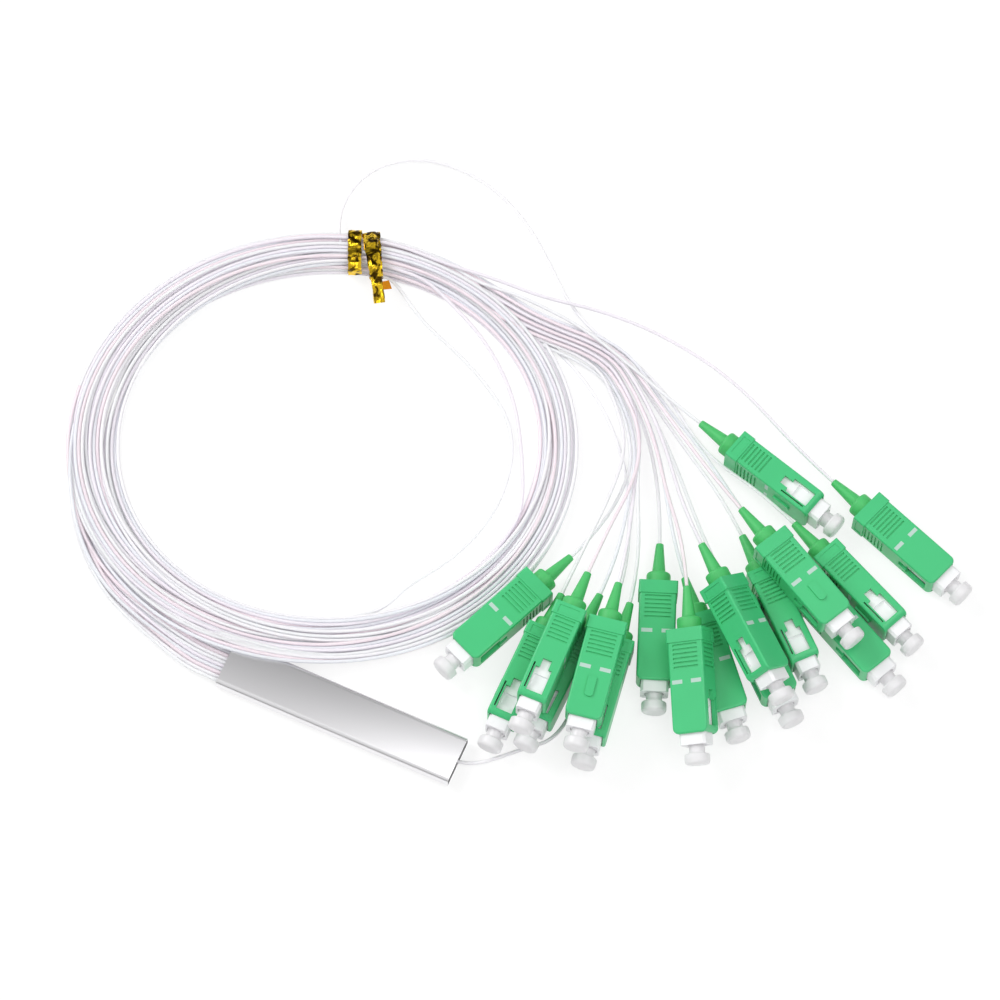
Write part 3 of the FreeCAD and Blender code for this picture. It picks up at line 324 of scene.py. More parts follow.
inputFibre = [
    (26.6, 0.0, 1.65), (30.3, 0.2, 1.6), (33.3, 1.5, 0.9), (36.1, 3.5, 0.55), (39.1, 6.3, 0.55),
    (41.8, 9.0, 0.55), (44.7, 11.4, 0.55), (47.6, 14.4, 0.55), (49.0, 19.0, 0.55),
    (49.2, 25.0, 0.55), (49.1, 31.5, 0.55),
    (48.6, 39.9, 0.55), (47.9, 49.5, 0.55), (47.0, 59.5, 0.55), (43.5, 71.0, 0.55),
    (37.0, 84.0, 0.55), (26.5, 96.0, 0.55), (13.5, 104.6, 0.5), (0.0, 109.0, 0.5),
]
strayTurns = [
    [(-33.6, 106.5, 3.0), (-26.7, 99.8, 2.4), (-19.5, 97.4, 1.6), (-10.9, 94.4, 1.0),
     (-3.2, 90.6, 1.0), (4.2, 85.8, 1.0), (9.3, 78.8, 1.0), (11.8, 69.5, 1.0), (12.0, 60.0, 1.0),
     (9.6, 50.7, 1.0), (5.5, 42.5, 1.2), (-1.0, 33.0, 2.0)],
    [(-30.5, 110.0, 4.0), (-20.8, 106.4, 3.4), (-13.0, 103.4, 2.4), (-6.4, 99.4, 2.2),
     (-0.4, 94.6, 2.2), (5.2, 88.6, 2.2), (10.6, 80.0, 2.2), (15.5, 70.5, 2.2)],
]
strayStrands = (5, 9)
inputIndex = 16
# where a tail's last two points lie on its connector's axis, behind the boot and in it
bootTail = (-19.5, -7.6)


def ovalTurn(points, angle):
    # points turned about Z by the angle in degrees
    c, s = math.cos(math.radians(angle)), math.sin(math.radians(angle))
    x, y = points[..., 0], points[..., 1]
    return np.stack([c * x - s * y, s * x + c * y], axis=-1)


def ovalReach(centre, half, directions):
    # distance from the outer oval's centre to an oval along unit directions: the positive
    # root of the quadratic that the ellipse's equation gives on the ray
    start = ovalTurn(np.array(coil["outerCentre"]) - np.array(centre), -coil["ovalTurn"])
    way = ovalTurn(directions, -coil["ovalTurn"])
    a = (way ** 2 / np.array(half) ** 2).sum(-1)
    b = 2 * (start * way / np.array(half) ** 2).sum(-1)
    c = (start ** 2 / np.array(half) ** 2).sum() - 1
    return (-b + np.sqrt(b * b - 4 * a * c)) / (2 * a)


def rayWays(angles):
    # unit directions at angles from the outer oval's long axis
    turned = np.radians(np.asarray(angles, float) + coil["ovalTurn"])
    return np.stack([np.cos(turned), np.sin(turned)], axis=-1)


def rayAngle(point):
    # angle of a point round the outer oval's centre, from the oval's long axis
    across = ovalTurn(np.asarray(point, float)[:2] - np.array(coil["outerCentre"]), -coil["ovalTurn"])
    return math.degrees(math.atan2(across[1], across[0])) % 360


def rayReach(point):
    return float(np.linalg.norm(np.asarray(point, float)[:2] - np.array(coil["outerCentre"])))


def tailWithBoot(number, points):
    turn, place = connectorPlace(number)
    ends = [place + turn @ np.array([along, 0, 0]) for along in bootTail]
    return np.vstack([np.array(points, float), ends])


def leadIn(index):
    # first points of an output fibre: out of the tube in two rows, eleven over five, then
    # fanning out towards the coil
    upper = index < leads["upper"]
    slot = index if upper else (index - leads["upper"]) * 2 + 1.5
    y = (slot - (leads["upper"] - 1) / 2) * leads["pitch"]
    z = leads["heights"][0 if upper else 1]
    return np.column_stack([leads["along"], y + np.array(leads["drift"]), z - np.array(leads["fall"])])


def layOutCoil():
    # each strand's stations round the coil, against the clock for the input fibre; its reach =
    # inner oval + share of the width by two waves, its level = share of the height by a wave;
    # then the strays, the settling, and one line of points from tube to boot
    step = 360 / coil["stations"]
    fullTurns = 360 * coil["turns"]
    rng = np.random.default_rng(coil["seed"])
    strands = []
    for index, number in enumerate(sorted(tails)):
        first = leadIn(index)
        startAngle = rayAngle(first[-1]) - step
        endAngle = rayAngle(tails[number][0])
        strands.append({"number": number, "way": -1, "before": first, "index": index,
                        "start": math.floor(startAngle / step),
                        "end": math.ceil((endAngle - fullTurns) / step + coil["leaving"]),
                        "after": tailWithBoot(number, tails[number])})
    entry = np.array(inputFibre, float)
    strands.append({"number": inputConnector, "way": 1, "before": entry, "index": inputIndex,
                    "start": math.ceil(rayAngle(entry[-1]) / step + coil["entering"]),
                    "end": math.floor((rayAngle(inputTail[0]) + fullTurns) / step - coil["leaving"]),
                    "after": tailWithBoot(inputConnector, inputTail)})
    for strand in strands:
        way = strand["way"]
        strand["stations"] = np.arange(strand["start"], strand["end"] + way, way)
    angles = np.concatenate([s["stations"] for s in strands]) * step
    ways = rayWays(angles)
    inner = ovalReach(coil["innerCentre"], coil["innerHalf"], ways)
    outer = ovalReach(coil["outerCentre"], coil["outerHalf"], ways)
    height = np.interp(angles % 360, bundleHeight["angle"], bundleHeight["height"])
    slices, at = [], 0
    for strand in strands:
        slices.append(slice(at, at + len(strand["stations"])))
        at += len(strand["stations"])
    reach, level = np.zeros(at), np.zeros(at)
    phases = rng.uniform(0, 2 * np.pi, (8, 3))
    (wide, slow), (slight, quick) = coil["swings"]
    lowShare, nextShare = coil["levelShares"]
    levelMiddle, levelSwing, levelRate = coil["levelWave"]
    for strand, part in zip(strands, slices):
        turns = np.abs(strand["stations"] - strand["stations"][0]) * step / 360
        ribbon, place = divmod(strand["index"], coil["ribbon"])
        share = (0.5 + wide * np.sin(2 * np.pi * turns * slow + phases[ribbon, 0])
                 + slight * np.sin(2 * np.pi * turns * quick + phases[ribbon, 1]))
        width = (outer - inner)[part]
        reach[part] = (inner[part] + np.clip(share, *coil["wanderLimits"]) * width
                       + (place - (coil["ribbon"] - 1) / 2) * coil["ribbonPitch"])
        wave = levelMiddle + levelSwing * np.cos(turns * levelRate + ribbon)
        level[part] = 0.5 + (lowShare + nextShare * ribbon) * height[part] * wave
    fixed = strayCords(strands, slices, reach, level, step)
    settle(strands, slices, reach, level, fixed, angles, ways, inner, outer, height)
    for strand, part in zip(strands, slices):
        flat = np.array(coil["outerCentre"]) + ways[part] * reach[part][:, None]
        ring = np.column_stack([flat, level[part]])
        strand["ring"] = ring
        strand["points"] = np.vstack([strand["before"], ring, strand["after"]])
    return strands


def strayCords(strands, slices, reach, level, step):
    # two strands leave the bundle for part of a turn, along the listed points; the stations
    # that this fixes are marked
    fixed = np.zeros(len(reach), bool)
    for strandIndex, route in zip(strayStrands, strayTurns):
        strand, part = strands[strandIndex], slices[strandIndex]
        route = np.array(route, float)
        angle = np.array([rayAngle(p) for p in route])
        angle = np.where(angle > 180, angle - 360, angle)
        far = np.array([rayReach(p) for p in route])
        order = np.argsort(angle)
        own = strand["stations"] * step
        low, high = angle.min() - 360, angle.max() - 360
        chosen = (own >= low) & (own <= high)
        where = np.arange(part.start, part.stop)[chosen]
        reach[where] = np.interp(own[chosen] + 360, angle[order], far[order])
        level[where] = np.interp(own[chosen] + 360, angle[order], route[order, 2])
        fixed[where] = True
    return fixed


def settle(strands, slices, reach, level, fixed, angles, ways, inner, outer, height):
    # each round: neighbours at one station move apart until a diameter apart, all sink a
    # little, stay between the ovals and under the bundle's height, and every strand is
    # smoothed along its length towards its own ends
    gap = coil["diameter"]
    stationOf = np.round(angles / (360 / coil["stations"])).astype(int) % coil["stations"]
    groups = [np.where(stationOf == s)[0] for s in range(coil["stations"])]
    centre = np.array(coil["outerCentre"])
    spread = np.interp(angles % 360, bundleSpread["angle"], bundleSpread["share"])
    spread[fixed] = 0
    besideX, besideY, above = settling["tubeRoom"]
    (lowX, highX), (lowY, highY) = tubeBox["x"], tubeBox["y"]
    low, high = settling["looseAngles"]
    loose = (angles % 360 > low) & (angles % 360 < high)
    outside = np.where(loose, outer + settling["looseRoom"], outer)
    for roundNumber in range(coil["rounds"]):
        if coil["rounds"] - roundNumber == bundleSpread["roundsLeft"]:
            reach += (reach - inner) * spread
            parting = np.interp(angles % 360, bundleParting["angle"], bundleParting["shift"])
            side = (reach - inner) / (outer - inner) - bundleParting["share"]
            reach += np.where(fixed, 0, parting * np.where(side > 0, 1.0, settling["partingBack"]))
        for group in groups:
            dr = reach[group][:, None] - reach[group][None]
            dz = level[group][:, None] - level[group][None]
            away = np.sqrt(dr ** 2 + dz ** 2) + 1e-6
            push = np.where(away < gap, (gap - away) / away * settling["push"], 0)
            np.fill_diagonal(push, 0)
            reach[group] += np.where(fixed[group], 0, (push * dr).sum(1))
            lift = dz + settling["lift"] * np.sign(dz)
            level[group] += np.where(fixed[group], 0, (push * lift).sum(1))
        for strand, part in zip(strands, slices):
            before, after = strand["before"][-1], strand["after"][0]
            for values, ends in ((reach, (rayReach(before), rayReach(after))),
                                 (level, (before[2], after[2]))):
                own = values[part]
                padded = np.concatenate([[ends[0]], own, [ends[1]]])
                smooth = (padded[:-2] + padded[2:]) / 2
                # ovals aren't round: smooth the place between the ovals, not the reach itself
                if values is reach:
                    middle = ((inner + outer) / 2)[part]
                    mid = np.concatenate([[2 * middle[0] - middle[min(1, len(middle) - 1)]], middle,
                                          [2 * middle[-1] - middle[max(len(middle) - 2, 0)]]])
                    smooth = smooth + middle - (mid[:-2] + mid[2:]) / 2
                moved = own + (smooth - own) * settling["smoothing"]
                values[part] = np.where(fixed[part], own, moved)
        free = ~fixed
        level[free] -= settling["sink"]
        spot = centre + ways * reach[:, None]
        overTube = ((spot[:, 0] > lowX - besideX) & (spot[:, 0] < highX + besideX)
                    & (spot[:, 1] > lowY - besideY) & (spot[:, 1] < highY + besideY))
        floor = np.where(overTube, tubeBox["top"] + above, settling["floor"])
        roof = np.maximum(height, floor + settling["layer"])
        level[free] = np.clip(level, floor, roof)[free]
        reach[free] = np.clip(reach, inner + settling["room"], outside + settling["room"])[free]


def addFibre(strand, materials):
    # smooth line through the route: a NURBS of order 3 with the route's points as controls
    points = strand["points"] * mm
    name = "inputFibre" if strand["number"] == inputConnector else "outputFibre%02d" % strand["number"]
    curve = bpy.data.curves.new(name, "CURVE")
    curve.dimensions = "3D"
    spline = curve.splines.new("NURBS")
    spline.points.add(len(points) - 1)
    spline.points.foreach_set("co", np.column_stack([points, np.ones(len(points))]).ravel())
    spline.order_u = 3
    spline.use_endpoint_u = True
    spline.resolution_u = 5
    curve.bevel_depth = coil["diameter"] / 2 * mm
    curve.bevel_resolution = 1
    curve.use_fill_caps = True
    curve.materials.append(materials[(strand["index"] - inputIndex) % len(materials)])
    thing = bpy.data.objects.new(name, curve)
    bpy.context.scene.collection.objects.link(thing)
    return thing


def splineLength(points):
    # length of the quadratic spline through a fine even sampling of its spans
    p = points
    joints = (p[1:] + p[:-1]) / 2
    joints[0], joints[-1] = p[0], p[-1]
    t = np.linspace(0, 1, 9)[:, None, None]
    spans = (1 - t) ** 2 * joints[:-1] + 2 * t * (1 - t) * p[1:-1] + t ** 2 * joints[1:]
    return float(np.linalg.norm(np.diff(spans, axis=0), axis=2).sum())


def fibreMaterials():
    # loose tube of a clear polyester elastomer over the bare fibre: milky white, each with a faint tint
    # of its own, soft inside and slightly glossy outside, with a faint painted white glow that lifts
    # the shade between strands
    made = []
    for name, tone in (("loose tube, milky", "#F4F2F7"), ("loose tube, rose", "#F5E4EC"),
                       ("loose tube, ice", "#ECEEF6"), ("loose tube, lilac", "#F1EAF4"),
                       ("loose tube, pearl", "#F0F1F4")):
        material, shader = newMaterial(name, {
            "Base Color": linearColour(tone), "Roughness": 0.45, "IOR": 1.48,
            "Subsurface Weight": 0.6, "Subsurface Radius": (1.0, 1.0, 1.0),
            "Subsurface Scale": 0.0012, "Coat Weight": 0.15, "Coat Roughness": 0.2,
            # emission: a painted glow that lifts the shade in the gaps between strands
            "Emission Color": (1.0, 1.0, 1.0, 1.0), "Emission Strength": 0.03,
        })
        colour = np.array(linearColour(tone)[:3])
        mixTones(material, shader, noiseOver(material, 160.0, 2.0), colour * 0.94, colour)
        made.append(material)
    return made


strands = layOutCoil()
milky = fibreMaterials()
fibres = {}
for strand in strands:
    fibres[strand["number"]] = addFibre(strand, milky)
print("fibres laid:", len(fibres))

# Dust caps: clear-white polyethylene, turned about the connector's axis.
dustCap = {
    "sleeve": (20.0, 27.5, 2.1, 1.3),
    "boreEnd": 27.2,
    "neck": (29.4, 1.9),
    "knob": (32.0, 3.0),
    # (radius, steps) at the sleeve's end, its step to the neck, the knob's flare, back and front
    "rounding": ((0.12, 2), (0.1, 2), (0.5, 5), (0.45, 5), (1.0, 7)),
    # (height, radius) of the slight dome on the knob
    "dome": ((0.06, 1.0), (0.08, 0.0)),
    "segments": 40,
}


def capProfile():
    # half section of the cap from the bore's end, out along the sleeve and round the knob
    start, sleeveEnd, outer, inner = dustCap["sleeve"]
    neckEnd, neckRadius = dustCap["neck"]
    knobEnd, knobRadius = dustCap["knob"]
    places = [(start, outer), (sleeveEnd, outer), (sleeveEnd, neckRadius), (neckEnd, neckRadius),
              (neckEnd, knobRadius), (knobEnd, knobRadius), (knobEnd, 0)]
    return [(dustCap["boreEnd"], 0.0), (dustCap["boreEnd"], inner), (start, inner), (start, outer),
            *roundedRun(places, dustCap["rounding"]),
            *[(knobEnd + height, radius) for height, radius in dustCap["dome"]]]


boot = {
    "front": 1.2,
    "collar": (-2.9, 2.9),
    "cone": (-10.4, 1.65, 0.9),
    "bore": 0.5,
    "seat": (-2.6, 1.5),
    # (radius, steps) at the tip, in the hollow behind the collar, at the collar's back and front
    "rounding": ((0.2, 3), (0.5, 4), (0.7, 5), (0.3, 3)),
    "segments": 36,
}


def bootProfile():
    # half section of the boot: tip, cone, rounded collar, socket for the stop ring, bore
    tip, coneRadius, tipRadius = boot["cone"]
    rear, collarRadius = boot["collar"]
    front, bore = boot["front"], boot["bore"]
    seatEnd, seatRadius = boot["seat"]
    places = [(tip, bore), (tip, tipRadius), (rear, coneRadius), (rear, collarRadius),
              (front, collarRadius), (front, seatRadius)]
    return [(tip, bore), *roundedRun(places, boot["rounding"]),
            (front, seatRadius), (seatEnd, seatRadius), (seatEnd, bore)]


mark = {
    "along": 12.6,
    "across": 2.4,
    "size": (0.95, 2.6),
    "height": 3.6,
    "raise": 0.02,
    "lift": 0.01,
}


def markPatches():
    # four thin plates, two on each wide face: sunk-in white paint, a little proud of the face
    halfLong, halfWide = mark["size"][0] / 2, mark["size"][1] / 2
    vertices, faces = [], []
    for face in (1, -1):
        for side in (1, -1):
            base = len(vertices)
            low = face * (mark["height"] - mark["raise"])
            top = face * (mark["height"] + mark["lift"])
            for level in (low, top):
                for dx, dy in ((-1, -1), (1, -1), (1, 1), (-1, 1)):
                    vertices.append((mark["along"] + dx * halfLong,
                                     side * mark["across"] + dy * halfWide, level))
            plate = [(0, 3, 2, 1), (4, 5, 6, 7), (0, 1, 5, 4), (1, 2, 6, 5), (2, 3, 7, 6), (3, 0, 4, 7)]
            if face < 0:
                plate = [corners[::-1] for corners in plate]
            faces += [tuple(base + corner for corner in corners) for corners in plate]
    return vertices, faces


# low-density polyethylene, thermoplastic rubber and pad-print ink
clearWhite, _ = newMaterial("polyethylene, translucent white", {
    "Base Color": linearColour("#F8F6F9"), "Roughness": 0.34, "IOR": 1.51,
    "Subsurface Weight": 0.5, "Subsurface Radius": (1.0, 1.0, 1.0),
    "Subsurface Scale": 0.0015, "Transmission Weight": 0.18,
})
leafGreen, _ = newMaterial("thermoplastic rubber, leaf green", {
    "Base Color": linearColour("#4BBF6B"), "Roughness": 0.52, "IOR": 1.5,
    "Subsurface Weight": 0.12, "Subsurface Radius": (0.3, 1.0, 0.4),
    "Subsurface Scale": 0.0006,
})
whiteInk, _ = newMaterial("pad-print ink, white", {
    "Base Color": linearColour("#B8D3C8"), "Roughness": 0.45})
capRun = capProfile()
bootLoop = bootProfile()
caps, boots = {}, {}
for number in range(1, len(connectors) + 1):
    vertices, faces = turnedGrid(capRun, dustCap["segments"], poles=True)
    cap = meshFrom("cap%02d" % number, placed(vertices, number), faces, clearWhite)
    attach(cap, "cap_body_%02d" % number)
    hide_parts("dust_cap_%02d" % number)
    caps[number] = cap
    vertices, faces = turnedGrid(bootLoop, boot["segments"])
    sleeve = meshFrom("boot%02d" % number, placed(vertices, number), faces, leafGreen)
    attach(sleeve, "splitter")
    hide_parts("boots")
    boots[number] = sleeve
    vertices, faces = markPatches()
    dashes = meshFrom("marks%02d" % number, placed(vertices, number), faces, whiteInk)
    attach(dashes, "grip_body_%02d" % number)
print("caps and boots made")

for strand in strands:
    number = strand["number"]
    thing = fibres[number]
    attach(thing, "splitter")
    own = ["fibre_coil"]
    if number == inputConnector:
        own += ["input_fibre", "input_tail"]
    else:
        own += ["output_tails", "lead_in_fibres"]
    if strand["index"] in strayStrands:
        own.append("stray_turns")
    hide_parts(*own)
    round(splineLength(strand["points"]) * mm, 3)


# Materials for the pieces that stay as the frame has them.

steel = {
    "crownPlace": (0.030, 0.005, 0.0),
    "crown": (-0.85, -4.6),
    "grain": 9000.0,
    "roughness": (0.27, 0.31),
}


def steelMaterial():
    # satin stainless steel: fine even grain, and faces that a press has left slightly crowned,
    # height = crown x * x squared + crown y * y squared, with x and y from the crown's place,
    # so its shine slides along the tube
    material, shader = newMaterial("stainless steel, satin", {
        "Base Color": linearColour("#F2F1F3"), "Metallic": 1.0, "Roughness": 0.3})
    link = material.node_tree.links.new
    coordinates = addNode(material, "ShaderNodeTexCoord")
    place = addNode(material, "ShaderNodeVectorMath", {"operation": "ADD", 1: steel["crownPlace"]},
                    {0: coordinates.outputs["Object"]})
    square = addNode(material, "ShaderNodeVectorMath", {"operation": "MULTIPLY"},
                     {0: place.outputs[0], 1: place.outputs[0]})
    height = addNode(material, "ShaderNodeVectorMath", {"operation": "DOT_PRODUCT",
                                                       1: (*steel["crown"], 0.0)},
                     {0: square.outputs[0]})
    crown = addNode(material, "ShaderNodeBump", {"Strength": 1.0, "Distance": 1.0},
                    {"Height": height.outputs["Value"]})
    speckle = noiseOver(material, steel["grain"], 3.0)
    rough = addNode(material, "ShaderNodeMapRange",
                    {"To Min": steel["roughness"][0], "To Max": steel["roughness"][1]},
                    {"Value": speckle})
    grain = addNode(material, "ShaderNodeBump", {"Strength": 0.12, "Distance": 0.000004},
                    {"Height": speckle, "Normal": crown.outputs["Normal"]})
    link(rough.outputs["Result"], shader.inputs["Roughness"])
    link(grain.outputs["Normal"], shader.inputs["Normal"])
    return material


def mouldedMaterial(name, hexText, roughness, scatter=0.0):
    # injection-moulded plastic: even colour with a faint cloud, fine satin skin
    material, shader = newMaterial(name, {
        "Base Color": linearColour(hexText), "Roughness": roughness, "IOR": 1.5,
        "Subsurface Weight": scatter, "Subsurface Radius": (1.0, 1.0, 1.0),
        "Subsurface Scale": 0.0005,
    })
    colour = np.array(linearColour(hexText)[:3])
    mixTones(material, shader, noiseOver(material, 90.0, 1.0),
             colour * 0.95, np.minimum(colour * 1.04, 1.0))
    bump = addNode(material, "ShaderNodeBump", {"Strength": 0.12, "Distance": 0.00003},
                   {"Height": noiseOver(material, 900.0, 3.0)})
    material.node_tree.links.new(bump.outputs["Normal"], shader.inputs["Normal"])
    return material


def dress(material, *names):
    for name in names:
        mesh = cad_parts[name].data
        mesh.materials.clear()
        mesh.materials.append(material)


stainless = steelMaterial()
gripGreen = mouldedMaterial("polybutylene, connector green", "#45C47E", 0.36, 0.08)
frameWhite = mouldedMaterial("polybutylene, white", "#F6F6F8", 0.35, 0.1)
blackResin = mouldedMaterial("epoxy resin, black", "#17181A", 0.5)
ceramicWhite = mouldedMaterial("zirconia, polished", "#F4F2EC", 0.15)
bareSteel = mouldedMaterial("spring steel, bright", "#A9ABAE", 0.3)
clearGlass = mouldedMaterial("silica, ground", "#DDE4E8", 0.2)
dress(stainless, "steel_tube")
dress(gripGreen, *["grip_%02d" % n for n in range(1, len(connectors) + 1)])
dress(frameWhite, "plug_frames")
dress(blackResin, "input_end_plug", "output_end_plug")
dress(ceramicWhite, "ferrules")
dress(bareSteel, "springs", "stop_rings")
dress(clearGlass, "plc_chip", "input_fibre_array", "output_fibre_array")
print("materials given")

# Resin seal: the black filling brought flush with the tube's input end, on both sides of the
# fibre, with its outline half a millimetre inside the tube's; the black is the filling's own, and as a
# thin plate at the end it is also painted shade for the recess of the open end.
sealAndRecessShade = {
    "along": (29.63, 29.96),
    "outline": ((0.62, 0.45), (4.8, 0.45), (5.45, 1.1), (5.45, 2.9), (4.8, 3.55), (0.62, 3.55)),
    "sharp": 30,
}


def addSealAndRecessShade():
    # a thin black plate: the resin's own black, and painted shade of the open end's recess
    outline = np.array(sealAndRecessShade["outline"])
    count = len(outline)
    near, far = [np.column_stack([np.full(count, along), outline]) for along in sealAndRecessShade["along"]]
    ring = [(c, (c + 1) % count, (c + 1) % count + count, c + count) for c in range(count)]
    faces = [tuple(range(count - 1, -1, -1)), tuple(range(count, 2 * count)), *ring]
    half = np.vstack([near, far])
    other = [tuple(index + 2 * count for index in reversed(face)) for face in faces]
    piece = meshFrom("resinSealAndRecessShade", np.vstack([half, half * (1, -1, 1)]) * mm, faces + other,
                     blackResin, sealAndRecessShade["sharp"])
    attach(piece, "splitter")


addSealAndRecessShade()

# Twist tie: gilt foil on a flat wire, wound twice round the bundle and twisted to an end that
# lies over it, with both tips showing.
tie = {
    "bands": ((81.9, 8.0), (76.4, 18.0)),
    "width": 3.3,
    "clear": 0.15,
    "foil": 0.07,
    "corner": 1.7,
    "lowCorner": 0.4,
    "bottom": 0.12,
    "lowest": 0.03,
    "around": 44,
    "across": 5,
    "crease": 0.3,
    "slip": 0.25,
    # the bundle is measured this far along it and across it, and bends with this radius
    "reach": (6.0, 9.0),
    "bendRadius": 56.0,
    "endWay": ((-45.2, 114.9, -0.9), (-43.1, 111.2, 1.5), (-40.3, 106.4, 2.6),
               (-37.5, 101.8, 2.2), (-35.3, 98.2, 0.4)),
    "endHalf": ((1.7, 0.5), (1.75, 0.75), (1.5, 0.8), (1.3, 0.75), (1.35, 0.7)),
    "endTwist": (0.0, 25.0, 60.0, 85.0, 110.0),
    "endSteps": 18,
    "endSides": 16,
    # share of its pleats, of its random creases, and how far its last corner lies back
    "endPleat": 0.16,
    "endCrease": 0.1,
    "endDepth": 0.8,
    "seed": 3,
    # angle above which an edge stays sharp
    "sharp": 8,
    "tips": (
        ((-36.5, 100.8, 6.4), (-33.9, 102.9, 5.3), (-35.4, 104.5, 5.7), (-37.4, 102.6, 6.6)),
        ((-40.6, 104.7, 4.1), (-37.8, 102.1, 6.2), (-38.3, 103.4, 6.5)),
    ),
}


def bundleSize(middle, out, along):
    # how far the fibres reach at a band: inwards, outwards and up, measured in the band's frame
    # and corrected for the coil's own bend, shift = along squared / twice the coil's radius
    spots = np.vstack([strand["ring"] for strand in strands])
    across = (spots[:, :2] - middle) @ out
    slide = (spots[:, :2] - middle) @ along
    slideReach, acrossReach = tie["reach"]
    near = np.abs(slide) < slideReach
    across = across[near] + slide[near] ** 2 / (2 * tie["bendRadius"])
    inside = np.abs(across) < acrossReach
    half = coil["diameter"] / 2 + tie["clear"]
    return across[inside].min() - half, across[inside].max() + half, spots[near][inside, 2].max() + half


def bandFrame(angle, skew):
    # where a band goes round the bundle: its middle, its ways outwards and along the bundle,
    # turned by the skew, how far it reaches inwards and outwards, and its top
    ways = rayWays([angle])
    reach = (ovalReach(coil["innerCentre"], coil["innerHalf"], ways)
             + ovalReach(coil["outerCentre"], coil["outerHalf"], ways)) / 2
    middle = np.array(coil["outerCentre"]) + ways[0] * reach[0]
    turned = math.radians(angle + coil["ovalTurn"])
    out = np.array([math.cos(turned), math.sin(turned)])
    along = np.array([-out[1], out[0]])
    low, high, top = bundleSize(middle, out, along)
    tilt = math.radians(skew)
    bandOut = out * math.cos(tilt) + along * math.sin(tilt)
    bandAlong = along * math.cos(tilt) - out * math.sin(tilt)
    return middle, bandOut, bandAlong, low / math.cos(tilt), high / math.cos(tilt), top


def bandOutline(low, high, top):
    # rounded rectangle of (across, up) round the bundle, in evenly spaced points
    corner, lowCorner = tie["corner"], tie["lowCorner"]
    lowHeight = tie["bottom"] + corner * lowCorner
    centres = ((high - corner, top - corner, 0), (low + corner, top - corner, 90),
               (low + corner, lowHeight, 180), (high - corner, lowHeight, 270))
    outline = []
    for x, z, start in centres:
        flat = 1.0 if start < 180 else lowCorner
        for step in np.radians(start + np.linspace(0, 90, 6)):
            outline.append((x + corner * math.cos(step), z + corner * flat * math.sin(step)))
    outline = np.array(outline + outline[:1])
    run = np.concatenate([[0], np.cumsum(np.linalg.norm(np.diff(outline, axis=0), axis=1))])
    places = np.linspace(0, run[-1], tie["around"], endpoint=False)
    return np.column_stack([np.interp(places, run, outline[:, axis]) for axis in range(2)])


def foilBand(angle, skew, rng):
    # closed strip round the bundle, two sheets thick, each point of it creased at random
    middle, bandOut, bandAlong, low, high, top = bandFrame(angle, skew)
    loop = bandOutline(low, high, top)
    tangent = np.roll(loop, -1, axis=0) - np.roll(loop, 1, axis=0)
    normal = np.column_stack([tangent[:, 1], -tangent[:, 0]])
    normal /= np.linalg.norm(normal, axis=1, keepdims=True)
    spread = np.linspace(-0.5, 0.5, tie["across"]) * tie["width"]
    jitter = rng.uniform(0, tie["crease"], (tie["around"], tie["across"]))
    slip = rng.uniform(-tie["slip"], tie["slip"], (tie["around"], tie["across"]))
    slip[:, [0, -1]] *= 0.5
    sheets = []
    for lift in (tie["foil"], 0.0):
        profile = loop[:, None] + normal[:, None] * (jitter + lift)[..., None]
        side = spread[None] + slip
        flat = middle + profile[..., :1] * bandOut + side[..., None] * bandAlong
        lowest = tie["lowest"] - lift * 0.3
        sheets.append(np.concatenate([flat, np.maximum(profile[..., 1:], lowest)], axis=-1))
    count, wide = tie["around"], tie["across"]
    vertices = np.vstack([sheet.reshape(-1, 3) for sheet in sheets])
    first = np.arange(count)[:, None] * wide
    following = (np.arange(count) + 1)[:, None] % count * wide
    column = np.arange(wide - 1)[None]
    outer = np.stack([first + column, first + column + 1,
                      following + column + 1, following + column], -1).reshape(-1, 4)
    inner = outer[:, ::-1] + count * wide
    rims = []
    for edge, flip in ((0, 1), (wide - 1, -1)):
        rim = np.stack([first[:, 0] + edge, following[:, 0] + edge,
                        following[:, 0] + edge + count * wide, first[:, 0] + edge + count * wide], -1)
        rims.append(rim[:, ::flip])
    return vertices, np.vstack([outer, inner, *rims]), top


def twistedEnd(top, rng):
    # crushed roll of foil along the listed places: a flat oval with pleats, turned as it goes
    steps, sides = tie["endSteps"], tie["endSides"]
    share = np.linspace(0, len(tie["endWay"]) - 1, steps)
    knots = np.arange(len(tie["endWay"]))
    way = np.array(tie["endWay"]) + (0, 0, top)
    spine = np.column_stack([np.interp(share, knots, way[:, axis]) for axis in range(3)])
    half = np.array(tie["endHalf"])
    wide = np.interp(share, knots, half[:, 0])[:, None]
    thick = np.interp(share, knots, half[:, 1])[:, None]
    twist = np.radians(np.interp(share, knots, tie["endTwist"]))[:, None]
    heading = np.gradient(spine, axis=0)
    heading /= np.linalg.norm(heading, axis=1, keepdims=True)
    side = np.cross(heading, (0, 0, 1))
    side /= np.linalg.norm(side, axis=1, keepdims=True)
    up = np.cross(side, heading)
    turn = np.linspace(0, 2 * np.pi, sides, endpoint=False)[None]
    crease = rng.uniform(-tie["endCrease"], tie["endCrease"], (steps, sides))
    pleat = 1 + tie["endPleat"] * np.cos(3 * turn - twist * 2) + crease
    x, y = wide * pleat * np.cos(turn), thick * pleat * np.sin(turn)
    rows = spine[:, None] + side[:, None] * x[..., None] + up[:, None] * y[..., None]
    vertices = np.vstack([rows.reshape(-1, 3), spine[:1], spine[-1:] - heading[-1:] * tie["endDepth"]])
    return vertices, [face[:1] + face[:0:-1] for face in ringFaces(steps, sides, True)]


def foilTip(corners):
    # flat end of the strip: the listed corners, with the foil's thickness below them
    top = np.array(corners, float)
    count = len(top)
    vertices = np.vstack([top, top - (0, 0, tie["foil"] * 2)])
    faces = [tuple(range(count)), tuple(range(2 * count - 1, count - 1, -1))]
    faces += [(c, c + count, (c + 1) % count + count, (c + 1) % count) for c in range(count)]
    return vertices, faces


